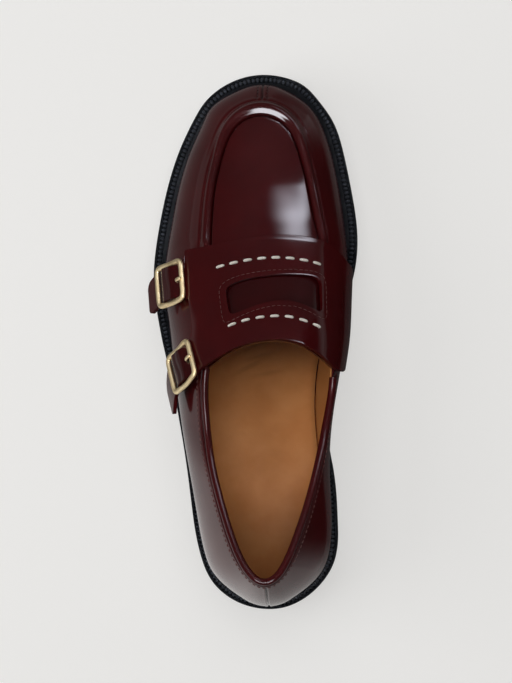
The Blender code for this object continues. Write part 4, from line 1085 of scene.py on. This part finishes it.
def finger_sheet(fastening, edge, inward):
    """A strap from the saddle's lateral edge: a Hermite bridge, then under, over and under its buckle."""
    place = Place(fastening)
    across = np.linspace(STRAP_HALF, -STRAP_HALF, len(edge))
    start = -BUCKLE_HALF_LONG
    first = place.point(start, across, strap_level(start))
    length = np.linalg.norm(first - edge, axis=1, keepdims=True)
    t = np.linspace(0, 1, 9)[None, :-1, None]
    bridge = ((2 * t ** 3 - 3 * t ** 2 + 1) * edge[:, None]
              + (t ** 3 - 2 * t ** 2 + t) * (unit(edge - inward) * length)[:, None]
              + (3 * t ** 2 - 2 * t ** 3) * first[:, None] + (t ** 3 - t ** 2) * (place.s * length)[:, None])
    bend = fastening.tip - STRAP_CORNER
    tip = bend + STRAP_CORNER * np.sin(np.linspace(0, 1, 9)[1:] * math.pi / 2)
    along = np.concatenate([np.linspace(start, bend, 38), tip])
    past = np.clip(along - bend, 0, STRAP_CORNER)
    half = STRAP_HALF - STRAP_CORNER + np.sqrt(np.maximum(STRAP_CORNER ** 2 - past ** 2, 0))
    sway, curl = tail_bend(fastening, place, along)
    wave = np.sin(1.5 * along[None] + 1.2 * np.sin(across[:, None] / 2.7))
    creases = STRAP_CREASE * wave * dent(along + 1.5, 5)[None]
    strap = place.point(along[None], across[:, None] * (half / STRAP_HALF)[None] + sway[None],
                        (strap_level(along) + curl)[None] + creases)
    grid = np.concatenate([bridge, strap], axis=1)[:, ::-1]
    kept = np.ones((grid.shape[0] - 1, grid.shape[1] - 1), bool)
    middle_along = np.concatenate([np.full(8, -99.0), (along[1:] + along[:-1]) / 2])[::-1] - CASTING_SHIFT
    middle_across = (across[1:] + across[:-1]) / 2
    hole = (middle_along > HOLE_START) & (middle_along < HOLE_END)
    kept[np.ix_(np.abs(middle_across) < HOLE_HALF, hole)] = False
    # Painted shade on the strap where it runs under its buckle.
    shade = 1 - 0.35 * np.concatenate([np.zeros(8), dent(along, 9)])[::-1]
    return Sheet(grid, False, False, np.broadcast_to(shade, grid.shape[:2]), kept)


def make_saddle(shoe):
    """Saddle over the instep with its slot, in one with the two straps that run from its lateral edge."""
    turns = steps((SADDLE_START, SLOT_LATERAL, 22), (SLOT_LATERAL, SLOT_MEDIAL, 46), (SLOT_MEDIAL, 1.0, 30),
                  (1.0, SADDLE_END, 22))
    depths = steps((0, SLOT_REAR, 18), (SLOT_REAR, 0.6, 14), (0.6, SLOT_FRONT, 2), (SLOT_FRONT, 0.94, 16),
                   (0.94, 1.0, 8))
    turn, depth = slot_warp(turns, depths)
    turn[:, 0], depth[:, 0] = turns[0], depths
    inside = (1 - depth) * SADDLE_DEPTH
    bend = LIP_END - LIP_RIDGE                     # over which a parabola runs into the lip's even slope
    lip = SADDLE_LIP * np.where(inside < LIP_RIDGE, LIP_RIDGE + bend / 2 - inside,
                                np.clip(LIP_END - inside, 0, 1) ** 2 / (2 * bend))
    grid, _ = saddle_point(turn, depth, SADDLE_GAP + SADDLE_THICK / 2 + lip)
    kept = np.ones((len(depths) - 1, len(turns) - 1), bool)
    kept[np.ix_(between(depths, SLOT_REAR, SLOT_FRONT), between(turns, SLOT_LATERAL, SLOT_MEDIAL))] = False
    sheets = [Sheet(grid, False, False, None, kept)]
    for fastening in FASTENINGS:
        rows = (depths > fastening.rear - 1e-6) & (depths < fastening.front + 1e-6)
        sheets.append(finger_sheet(fastening, grid[rows, 0], grid[rows, 2]))
    piece = add_piece("saddle_with_straps", sheets, finish(shoe, "glazed_box_calf"),
                      nodes=["saddle", "front_strap", "rear_strap"])
    thicken(piece, SADDLE_THICK - 0.1, 0.5, finish(shoe, "burnished_calf_edge"))


def steps(*parts):
    """Places from stretches that follow each other: start, end and number of steps."""
    runs = [np.linspace(start, end, count + 1)[1:] for start, end, count in parts]
    return np.concatenate([[parts[0][0]], *runs])


def between(places, low, high):
    """Which steps of a list of places lie between two values."""
    return (places[:-1] > low - 1e-3) & (places[1:] < high + 1e-3)


def slot_ring(stand_off, count=240):
    """Turns and depths round the slot, on a superellipse that stands off its edge."""
    place = np.stack(squared(np.linspace(0, 2 * math.pi, count), 2 / SLOT_POWER), axis=-1)
    place = place * (1 + stand_off / SLOT_HALF)
    place[:, 1] += slot_bow(place[:, 0], place[:, 1])
    return (place * SLOT_HALF + SLOT_MIDDLE).T


def make_saddle_stitches(shoe):
    """A fine row round the slot, and two even rows of thick cream running stitches."""
    top = SADDLE_GAP + SADDLE_THICK - 0.05
    ring = (*saddle_point(*slot_ring(RING_STAND_OFF), top), *fine_stitch(shoe), 0.28)
    add_stitches("saddle_stitches", [ring], finish(shoe, "polyester_thread_with_painted_highlight"))
    cord = shoe.cord_length / MM, shoe.cord_pitch / MM, shoe.cord_width / MM, 0.28
    rows = [(*saddle_point(np.linspace(start, end, 160), depth, top), *cord)
            for start, end, depth in CREAM_ROWS]
    add_stitches("cream_running_stitches", rows, finish(shoe, "waxed_cotton_cord"))


# ---------------------------------------------------------------- buckles

def make_buckles(shoe):
    """Frames with their centre bars, prongs and the leather chapes that hold them."""
    gold, calf = finish(shoe, "satin_pale_gold_plate"), finish(shoe, "glazed_box_calf")
    for fastening in FASTENINGS:
        place = Place(fastening)
        place.centre = place.centre + place.s * CASTING_SHIFT
        s, b = squared(np.linspace(0, 2 * math.pi, 1441), FRAME_POWER)
        dip = ease(1 - np.abs(s) * FRAME_HALF_LONG / RAIL_DIP_HALF) * np.abs(b) ** RAIL_DIP_POWER
        path = place.point(s * FRAME_HALF_LONG, b * FRAME_HALF_WIDE, FRAME_LIFT - RAIL_DIP * dip)
        run = run_of(path)
        path = follow(path, run, np.linspace(0, run[-1], 161)[:-1])
        across = np.linspace(-1, 1, 33)
        rise = (FRAME_LIFT - RAIL_DIP - BAR_DROP) * ramp(np.abs(across), 0.82, 1)
        bar = place.point(0, FRAME_HALF_WIDE * across, BAR_DROP + rise)
        tubes = [tube_sheet(path, FRAME_WIDE, FRAME_HIGH, place.n, 20, True),
                 tube_sheet(bar, BAR_WIRE, BAR_WIRE, place.n, 14)]
        add_piece(fastening.name + "_buckle_frame", tubes, gold, [fastening.name + "_buckle"])
        make_prong(fastening, place, gold)
        make_chape(fastening, place, calf)


def make_prong(fastening, place, gold):
    """A tongue that hooks round the centre bar, comes up through the strap and rests on the outer bar."""
    reach = BAR_WIRE + GAP + PRONG_WIRE
    round_bar = np.radians(np.linspace(60, -160, 9))
    hook = [(reach * math.cos(angle), BAR_DROP + reach * math.sin(angle)) for angle in round_bar]
    rest = FRAME_LIFT + BUCKLE_WIRE + PRONG_WIRE * 0.9
    arm = [(-3.0, BAR_DROP - 0.45), (-4.2, BAR_DROP + 0.3), (-5.2, BAR_DROP + 2.2), (-6.4, rest - 0.7),
           (-8.4, rest), (-11.0, rest - 0.35)]
    s, n = np.array(hook + arm).T
    share = np.linspace(0, 1, 60)
    ends = np.sqrt(np.clip((1 - share) / 0.06, 0, 1) * np.clip(share / 0.03, 0, 1))
    wide = PRONG_WIRE * mix(1.0, 1.75, ramp(share, 0.55, 0.8)) * ends
    path = smooth_path(place.point(s, 0, n), 60)
    tube = tube_sheet(path, np.minimum(wide, PRONG_WIRE * 1.1), wide, place.b, 14)
    add_piece(fastening.name + "_buckle_prong", [tube], gold, [fastening.name + "_prong"])


def make_chape(fastening, place, calf):
    """The leather loop round the centre bar: one strip from its tail, round the bar and back.

    It is slotted for the prong.
    """
    middle = BAR_WIRE + GAP + CHAPE_THICK / 2
    tail = np.array([2.6, 5.0, 8.0, CHAPE_TAIL])
    edge = np.array([-CHAPE_HALF, 0.0, CHAPE_HALF])
    level = place.skin_level(*np.meshgrid(tail, edge, indexing="ij")).max(axis=1) + 2 * GAP
    level = np.minimum(level, BAR_DROP - 4 * GAP)
    ring = np.radians(np.linspace(300, 60, 20))
    s = np.concatenate([tail[::-1], middle * np.cos(ring), tail])
    n = np.concatenate([level[::-1] + CHAPE_THICK / 2, BAR_DROP + middle * np.sin(ring),
                        level + CHAPE_THICK * 1.5])
    path = smooth_path(place.point(s, 0, n), 90)
    across = np.linspace(-CHAPE_HALF, CHAPE_HALF, 21)
    kept = np.ones((20, 89), bool)
    in_slot = np.abs(across[1:] + across[:-1]) / 2 < PRONG_SLOT_HALF
    kept[np.ix_(in_slot, (path - place.centre)[1:] @ place.s < 1.5)] = False
    strip = Sheet(path[None] + place.b * across[:, None, None], False, False, None, kept)
    piece = add_piece(fastening.name + "_buckle_chape", [strip], calf, nodes=[fastening.name + "_chape"])
    thicken(piece, CHAPE_THICK - 0.05, 0.25)


# ---------------------------------------------------------------- sole and heel

def sole_rows(turn, profile):
    """Rows round the sole from (distance in from its edge, height) pairs; a height may vary along it."""
    edge, out = sole_outline.plan(turn), sole_outline.outward(turn)
    return [raised(edge - out * distance, level) for distance, level in profile]


def spine_rows(turn, distance, level, shares):
    """Rows from a line inside the sole's edge to its spine, at shares of the way."""
    edge = sole_outline.plan(turn) - sole_outline.outward(turn) * distance
    spine = np.stack([axis(edge[:, 1]), edge[:, 1]], axis=1)
    return [raised(mix(edge, spine, share), level) for share in shares]


def make_welt(shoe):
    """Storm welt: a rounded, wheeled edge, a sunk channel and the stitches that lie in it."""
    turn = sole_outline.columns(spacing=0.55)
    top = welt_top(sole_outline.station(turn))
    run = run_of(sole_outline.plan(turn))
    pitch = shoe.welt_pitch / MM
    wheel = (0.5 + 0.5 * np.cos(2 * math.pi * run / (run[-1] / round(run[-1] / pitch)))) ** 4
    foot, side = upper_outline.plan(turn), upper_outline.side(turn)
    hole = foot - upper_outline.outward(turn) * (tuck(foot[:, 1], side) + WELT_INSIDE)[:, None]
    rows = sole_rows(turn, [(distance, top + height - cut * wheel) for distance, height, cut in WELT])
    grid = np.stack([raised(hole, top + WELT_FOOT), *rows, raised(hole, top)])
    shade = np.ones(grid.shape[:2])
    shade[10:14] = 0.55                            # painted shade in the channel
    add_piece("welt_strip", [Sheet(grid[::-1], True, True, shade[::-1])],
              finish(shoe, "inked_waxed_sole_leather"), ["welt"])
    path = sole_rows(turn, [(WELT_ROW, top - WELT_ROW_SINK)])[0]
    path = np.concatenate([path, path[:1]])
    up = np.broadcast_to((0.0, 0.0, 1.0), path.shape)
    add_stitches("welt_stitches", [(path, up, pitch * WELT_STITCH_SHARE, pitch, 2.4, 0.05)],
                 finish(shoe, "waxed_linen_thread_painted_sheen"))


def make_sole(shoe):
    """Midsole with a trimmed edge, and the rubber outsole with its cross grooves and a line round its wall.

    The grooves are cut into the rows nearest the tread, each less than the one below it.
    """
    turn = sole_outline.columns(spacing=1.1)
    y = sole_outline.station(turn)
    low, high = outsole_top(y) + GAP, outsole_top(y) + MIDSOLE_THICK
    shares = (0.3, 0.65, 1.0)
    add_stack("midsole_layer", [
        *spine_rows(turn, MIDSOLE_IN, low, shares[::-1]),
        *sole_rows(turn, [(distance, low + height) for distance, height in MIDSOLE_LOW]),
        *sole_rows(turn, [(distance, high + height) for distance, height in MIDSOLE_HIGH]),
        *spine_rows(turn, MIDSOLE_IN, high, shares)],
        finish(shoe, "inked_waxed_sole_leather"), "midsole")

    turn = sole_outline.columns(spacing=0.8)
    y = sole_outline.station(turn)
    under, over = tread(y), outsole_top(y)
    centre = (y - GROOVE_FIRST - GROOVE_WIDTH / 2) / GROOVE_PITCH
    number = np.clip(np.round(centre), 0, GROOVE_COUNT - 1)
    gap = np.abs(centre - number) * GROOVE_PITCH - GROOVE_WIDTH / 2
    cut = GROOVE_DEPTH * ease(0.5 - gap / 0.9)
    floor = under + cut
    line = floor + TREAD_LINE * (1 - cut / GROOVE_DEPTH)      # where no groove crosses it
    add_stack("rubber_outsole", [
        *spine_rows(turn, OUTSOLE_IN, floor, (1.0, 0.75, 0.5, 0.3)),
        *sole_rows(turn, [(6.0, floor), (5.6, line), (5.0, line), (4.6, floor), (OUTSOLE_IN, floor),
                          (0.45, under + 0.2 + cut), (0.12, under + 0.7 + cut * 0.85),
                          (0.0, under + 1.6 + cut * 0.6), (0.0, mix(under, over, 0.62)), (0.0, over - 1.9),
                          (0.35, over - 1.6), (0.0, over - 1.3), (0.05, over - 0.4), (OUTSOLE_TOP_IN, over)]),
        *spine_rows(turn, OUTSOLE_TOP_IN, over, (0.5, 1.0))],
        finish(shoe, "moulded_black_rubber"), "outsole")


def heel_outline():
    """Plan of the heel: the sole's edge as far as the breast, closed by a straight line across."""
    half = sole_outline.dense[sole_outline.station(sole_outline.dense) <= BREAST][-1]
    edge = sole_outline.plan(np.linspace(-half, half, 161))
    return np.concatenate([edge, mix(edge[-1:], edge[:1], np.linspace(0, 1, 25)[1:-1, None])])


def make_heel(shoe):
    """Stacked heel block, its lifts showing as fine lines, and the rubber top lift it stands on."""
    outline = heel_outline()
    small = HEEL_MIDDLE + (outline - HEEL_MIDDLE) * (1 - HEEL_TAPER / HEEL_REACH)
    low, high = LIFT_THICK + GAP, tread(outline[:, 1]) - GAP

    def row(share, level, drawn=0.0):
        """The heel's outline between its foot (share 0) and its seat (1), drawn in towards the middle."""
        plan = mix(small, outline, share) - HEEL_MIDDLE
        return raised(HEEL_MIDDLE + plan * (1 - drawn / HEEL_CENTRE), level)

    rows = [row(0, low, HEEL_CENTRE), row(0, low, 12), row(0, low, 0.8), row(0, low + 0.2, 0.2),
            row(0, low + 0.6)]
    for share in np.arange(1, HEEL_LIFTS) / HEEL_LIFTS:
        level = mix(low, high, share)
        rows += [row(share, level - 0.4), row(share, level, LIFT_LINE), row(share, level + 0.4)]
    rows += [row(1, high - 0.6), row(1, high - 0.15, 0.25), row(1, high, 0.8), row(1, high, 12),
             row(1, high, HEEL_CENTRE)]
    add_stack("stacked_heel", rows, finish(shoe, "inked_waxed_sole_leather"), "heel_block")

    ribs = RIB_DEPTH * ease(RIB_SHARPNESS * np.sin(outline[:, 1] * 2 * math.pi / RIB_PITCH))
    rows = [row(0, 0.0, HEEL_CENTRE), row(0, 0.0, 12), row(0, 0.0, 5.5), row(0, ribs, 5.0), row(0, ribs, 1.4),
            row(0, ribs, 0.8), row(0, 0.35 + ribs, 0.15), row(0, 0.9 + ribs * 0.5), row(0, LIFT_THICK - 0.6),
            row(0, LIFT_THICK - 0.15, 0.25), row(0, LIFT_THICK, 0.8), row(0, LIFT_THICK, HEEL_CENTRE)]
    add_stack("rubber_top_lift", rows, finish(shoe, "moulded_black_rubber"), "top_lift")


# ---------------------------------------------------------------- stage

CAMERA_AT = (63.5, 24.1, 1400.0)     # over the shoe's medial side, looking down
CAMERA_TO = (1.5, 0.2, 30.0)
CAMERA_LENS = 143.0

Card = namedtuple("Card", "name at to half lean radiance tint soft")
CARDS = [          # softboxes that only the gloss sees; softness as a share of their half sizes
    Card("plug_softbox", (700, 729, 1089), (20, 63, 58), (895, 90), -0.8, 12, (0.86, 0.88, 1.0), 0.8),
    Card("rear_softbox", (-90, -265, 1254), (5, 113, 54), (225, 205), 0.0, 17, (0.93, 0.94, 1.0), 0.3),
    Card("throat_flag", (76, 36, 123), (30, 1, 85), (28, 24), 0.0, 0, (1.0, 1.0, 1.0), 0.5),
]
CARD_ROUNDING = 2.8
Lamp = namedtuple("Lamp", "name at size radiance")
LAMPS = [          # what the gloss does not see; radiance as a share of what a white card shows
    Lamp("overhead", (0, 450, 1620), 1300, 2.0),
    Lamp("lateral_key", (-1000, -100, 900), 900, 1.8),
]
TENT = Lamp("light_tent", (-300, 0, 1150), 4200, 0.8)                # seen by the gilt alone
WORLD_HORIZON, WORLD_TOP = 0.35, 0.065   # the room's brightness low down and overhead
WORLD_TURN = 0.02, 0.30                  # and z of the direction looked in, over which it turns
PAPER_DEPTH, PAPER_GLOW = 0.60, 0.67     # how much of the paper's tone is lit, and how much glows by itself
FLOOR_HALF = 8000
SHEEN_LATERAL, SHEEN_MEDIAL, SHEEN_FAR = 1.0, 0.50, 0.22       # what the gloss sees of the floor
SHEEN_X, SHEEN_Y = (-50, 50), (-150, 40)                       # x and y over which that turns
PATCH_X, PATCH_END_X, PATCH_Y = (28, 44), (110, 98), (-150, -110)      # where its dark patch begins and ends
PATCH_DARK, PATCH_TURN = (0.85, 0.55), (55, 85)        # how dark that is, and y over which this turns
FLAG_Y, FLAG_X, FLAG_Z = (-150, 160), (80, 100), (5, 70)       # of the flag's rear and front, foot and top
FLAG_ENDS = [(-108, -150, 0.32), (105, 155, 0.3)]      # y from, y to, glow
GLOSS_ONLY = ("camera", "diffuse", "shadow", "transmission", "volume_scatter")


def add_stage(name, points, material, hidden=(), glow=None):
    """A sheet of the studio from a grid of points, unseen by the kinds of ray in `hidden`."""
    made = add_object(name, sheet_mesh(name, [Sheet(points, False, False, glow)], material, "glow"))
    for ray in hidden:
        setattr(made, "visible_" + ray, False)


def add_glow(name, points, glow, tint):
    """A card that only the gloss sees, and that shines by an amount given at each of its points."""
    light = bpy.data.materials.new(name)
    light.use_nodes = True
    light.node_tree.nodes.clear()
    amount = add_node(light, "ShaderNodeAttribute", {"attribute_name": "glow"})["Fac"]
    shine = add_node(light, "ShaderNodeEmission", {}, {"Color": (*tint, 1), "Strength": amount})[0]
    add_node(light, "ShaderNodeOutputMaterial", {}, {"Surface": shine})
    add_stage(name, points, light, GLOSS_ONLY, glow)


def make_card(card):
    """A softbox: a card turned to the shoe, even in its middle, whose light falls to nothing at its edges."""
    across, along = np.meshgrid(np.linspace(-1, 1, 41), np.linspace(-1, 1, 41))
    away = unit(np.array(card.at, float) - card.to)
    side = unit(np.cross((0, 1, 0), away))
    up = np.cross(away, side) * card.half[1]
    points = card.at + (side * card.half[0] * across[..., None]
                        + up * (along + card.lean * across)[..., None])
    reach = (np.abs(across) ** CARD_ROUNDING + np.abs(along) ** CARD_ROUNDING) ** (1 / CARD_ROUNDING)
    add_glow(card.name, points, card.radiance * ease((1 - reach) / card.soft), card.tint)


def make_lamp(lamp):
    """A square area lamp turned to the shoe, which lights its colours and leaves no shine."""
    data = bpy.data.lights.new(lamp.name, "AREA")
    data.size = lamp.size * MM
    data.energy = lamp.radiance * math.pi * data.size ** 2
    made = add_object(lamp.name, data)
    made.visible_glossy = False
    made.matrix_world = aimed(lamp.at, (0, 0, 30))
    return made


def make_tent():
    """A wide white sheet overhead that lights the gilt castings alone, as a light tent would."""
    gilt = bpy.data.collections.new("gilt_castings")
    for piece in bpy.context.scene.objects:
        if piece.name.endswith(("_buckle_frame", "_buckle_prong")):
            gilt.objects.link(piece)
    tent = make_lamp(TENT)
    tent.visible_glossy, tent.visible_camera = True, False
    tent.light_linking.receiver_collection = gilt


def make_floor(shoe):
    """Pale paper that also glows, so that only the faintest shadow shows, and the floor that the gloss sees.

    That floor is brightest on the lateral side, darker towards the toe, with a dark patch on the medial side.
    """
    paper = bpy.data.materials.new("matt_studio_paper")
    paper.use_nodes = True
    place = add_node(paper, "ShaderNodeTexCoord")["Object"]
    grain = add_node(paper, "ShaderNodeTexNoise", {}, {"Scale": per_mm(1.2), "Vector": place})["Fac"]
    lit = [PAPER_DEPTH * c for c in shoe.floor]
    tone = add_node(paper, "ShaderNodeMix", {"data_type": "RGBA"}, {
        0: grain, 6: (*(c * 0.97 for c in lit), 1), 7: (*lit, 1)})[2]
    link(paper, tone, "Base Color")
    for socket, value in {"Roughness": 0.9, "Specular IOR Level": 0.0, "Emission Color": (*shoe.floor, 1),
                          "Emission Strength": PAPER_GLOW}.items():
        paper.node_tree.nodes["Principled BSDF"].inputs[socket].default_value = value
    corner = np.array((-FLOOR_HALF, FLOOR_HALF))
    add_stage("floor", raised(np.stack(np.meshgrid(corner, corner), axis=-1), 0.0), paper, ("glossy",))

    reach = FLOOR_HALF * np.linspace(-1, 1, 161) ** 3
    x, y = np.meshgrid(reach, reach)
    glow = mix(mix(SHEEN_LATERAL, SHEEN_MEDIAL, ramp(x, *SHEEN_X)), SHEEN_FAR, ramp(y, *SHEEN_Y))
    dark_patch = ramp(x, *PATCH_X) * ramp(x, *PATCH_END_X) * ramp(y, *PATCH_Y)
    glow = glow * (1 - dark_patch * mix(*PATCH_DARK, ramp(y, *PATCH_TURN)))
    add_glow("gloss_floor", np.stack([x, y, 0 * x - 0.5], axis=-1), glow, tuple(shoe.floor))


def make_flag():
    """A black card on the medial side, seen by the gloss alone: it keeps that wall dark but for its ends."""
    y, up = np.meshgrid(np.linspace(*FLAG_Y, 32), (0.0, 1.0))
    glow = sum(amount * ramp(y, start, end) for start, end, amount in FLAG_ENDS)
    add_glow("flag", np.stack([mix(*FLAG_X, up), y, mix(*FLAG_Z, up)], axis=-1), glow, (1, 1, 1))


def make_stage(shoe):
    """Floor, softboxes, lamps that leave no shine, a dim world and the camera."""
    make_floor(shoe)
    make_flag()
    for card in CARDS:
        make_card(card)
    for lamp in LAMPS:
        make_lamp(lamp)
    make_tent()

    world = bpy.data.worlds.new("studio")
    bpy.context.scene.world = world
    world.use_nodes = True
    direction = add_node(world, "ShaderNodeTexCoord")["Generated"]
    parts = add_node(world, "ShaderNodeSeparateXYZ", {}, {0: direction})
    strength = add_node(world, "ShaderNodeMapRange", {"interpolation_type": "SMOOTHSTEP"}, {
        0: parts[2], 1: WORLD_TURN[0], 2: WORLD_TURN[1], 3: WORLD_HORIZON, 4: WORLD_TOP})[0]
    world.node_tree.links.new(strength, world.node_tree.nodes["Background"].inputs["Strength"])
    world.node_tree.nodes["Background"].inputs["Color"].default_value = (1.0, 0.995, 0.985, 1)

    camera = add_object("camera", bpy.data.cameras.new("camera"))
    camera.data.lens = CAMERA_LENS
    camera.matrix_world = aimed(CAMERA_AT, CAMERA_TO)
    bpy.context.scene.camera = camera
    bpy.context.scene.view_settings.view_transform = "Standard"


def aimed(at, to):
    """A matrix at one point whose -Z looks at another, with +Y of the shoe kept upwards."""
    at, to = (Vector((np.array(p, float) - ORIGIN) * MM) for p in (at, to))
    back = (at - to).normalized()
    right = Vector((0, 1, 0)).cross(back).normalized()
    turn = Matrix((right, back.cross(right), back)).transposed().to_4x4()
    return Matrix.Translation(at) @ turn


# ---------------------------------------------------------------- the add-on

def length(name, description, default):
    """A length setting, given in millimetres."""
    return bpy.props.FloatProperty(name=name, description=description, default=default * MM, min=0.0,
                                   unit="LENGTH")


def colour(name, description, code):
    """A colour setting, given as sRGB hex."""
    return bpy.props.FloatVectorProperty(name=name, description=description, default=linear(code), size=3,
                                         subtype="COLOR", min=0.0, max=1.0)


class LoaferSettings(bpy.types.PropertyGroup):
    """Sizes and colours of the loafer's finish"""
    rim_height: length("Rim height", "Height of the apron's raised rim", 1.9)
    seam_depth: length("Seam depth", "Depth of the apron's seam", 1.3)
    stitch_length: length("Stitch length", "Length of one tonal stitch", 1.9)
    stitch_pitch: length("Stitch pitch", "Distance between tonal stitches", 2.6)
    cord_length: length("Running stitch length", "Length of one cream running stitch", 4.6)
    cord_pitch: length("Running stitch pitch", "Distance between cream running stitches", 6.4)
    cord_width: length("Cord width", "Width of the cream cord", 1.5)
    welt_pitch: length("Welt pitch", "Distance between the welt's stitches", 2.2)
    upper: colour("Upper", "Burgundy calf of the upper", "450609")
    lining: colour("Lining", "Tan leather of the lining and the sock", "DA9557")
    sole: colour("Sole", "Inked edge and rubber of the sole", "1C1F24")
    metal: colour("Buckles", "Pale gold plate of the buckles", "F2DFB6")
    # The thread's dusty rose is lighter than the tonal thread itself: a painted highlight on each stitch.
    thread: colour("Thread", "Dusty rose thread of the fine stitches", "75504D")
    cord: colour("Cord", "Cream cord of the running stitches", "FBF7EE")
    floor: colour("Floor", "Pale floor", "E9E8E6")


class LOAFER_OT_upper(bpy.types.Operator):
    """Make the vamp, the quarters and the apron's plug"""
    bl_idname = "loafer.upper"
    bl_label = "Upper"

    def execute(self, context):
        make_upper(context.scene.loafer)
        return {"FINISHED"}


class LOAFER_OT_binding(bpy.types.Operator):
    """Make the bound topline and its stitches"""
    bl_idname = "loafer.binding"
    bl_label = "Topline binding"

    def execute(self, context):
        make_binding(context.scene.loafer)
        return {"FINISHED"}


class LOAFER_OT_lining(bpy.types.Operator):
    """Make the linings and the sock over the insole"""
    bl_idname = "loafer.lining"
    bl_label = "Lining and sock"

    def execute(self, context):
        make_lining(context.scene.loafer)
        make_insole(context.scene.loafer)
        return {"FINISHED"}


class LOAFER_OT_saddle(bpy.types.Operator):
    """Make the saddle with its two straps"""
    bl_idname = "loafer.saddle"
    bl_label = "Saddle and straps"

    def execute(self, context):
        make_saddle(context.scene.loafer)
        return {"FINISHED"}


class LOAFER_OT_stitches(bpy.types.Operator):
    """Make the saddle's tonal and cream stitches"""
    bl_idname = "loafer.stitches"
    bl_label = "Saddle stitches"

    def execute(self, context):
        make_saddle_stitches(context.scene.loafer)
        return {"FINISHED"}


class LOAFER_OT_buckles(bpy.types.Operator):
    """Make both buckles, their prongs and their chapes"""
    bl_idname = "loafer.buckles"
    bl_label = "Buckles"

    def execute(self, context):
        make_buckles(context.scene.loafer)
        return {"FINISHED"}


class LOAFER_OT_sole(bpy.types.Operator):
    """Make the welt, the midsole, the outsole and the heel"""
    bl_idname = "loafer.sole"
    bl_label = "Sole and heel"

    def execute(self, context):
        make_welt(context.scene.loafer)
        make_sole(context.scene.loafer)
        make_heel(context.scene.loafer)
        return {"FINISHED"}


class LOAFER_OT_stage(bpy.types.Operator):
    """Make the floor, the lamps, the world and the camera"""
    bl_idname = "loafer.stage"
    bl_label = "Stage"

    def execute(self, context):
        make_stage(context.scene.loafer)
        return {"FINISHED"}


OPERATORS = (LOAFER_OT_upper, LOAFER_OT_binding, LOAFER_OT_lining, LOAFER_OT_saddle, LOAFER_OT_stitches,
             LOAFER_OT_buckles, LOAFER_OT_sole, LOAFER_OT_stage)


class LOAFER_PT_panel(bpy.types.Panel):
    """Settings and makers of the loafer"""
    bl_idname = "LOAFER_PT_panel"
    bl_label = "Double buckle loafer"
    bl_space_type = "VIEW_3D"
    bl_region_type = "UI"
    bl_category = "Loafer"

    def draw(self, context):
        for name in LoaferSettings.__annotations__:
            self.layout.prop(context.scene.loafer, name)
        for operator in OPERATORS:
            self.layout.operator(operator.bl_idname)


def register():
    """Registers the classes and gives the scene its settings."""
    for kind in (LoaferSettings, *OPERATORS, LOAFER_PT_panel):
        bpy.utils.register_class(kind)
    bpy.types.Scene.loafer = bpy.props.PointerProperty(type=LoaferSettings)


def unregister():
    """Takes both away again."""
    del bpy.types.Scene.loafer
    for kind in (LOAFER_PT_panel, *reversed(OPERATORS), LoaferSettings):
        bpy.utils.unregister_class(kind)


def main():
    """Registers the add-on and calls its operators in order."""
    register()
    for maker in (bpy.ops.loafer.upper, bpy.ops.loafer.binding, bpy.ops.loafer.lining, bpy.ops.loafer.saddle,
                  bpy.ops.loafer.stitches, bpy.ops.loafer.buckles, bpy.ops.loafer.sole, bpy.ops.loafer.stage):
        maker()


if __name__ == "__main__":
    main()
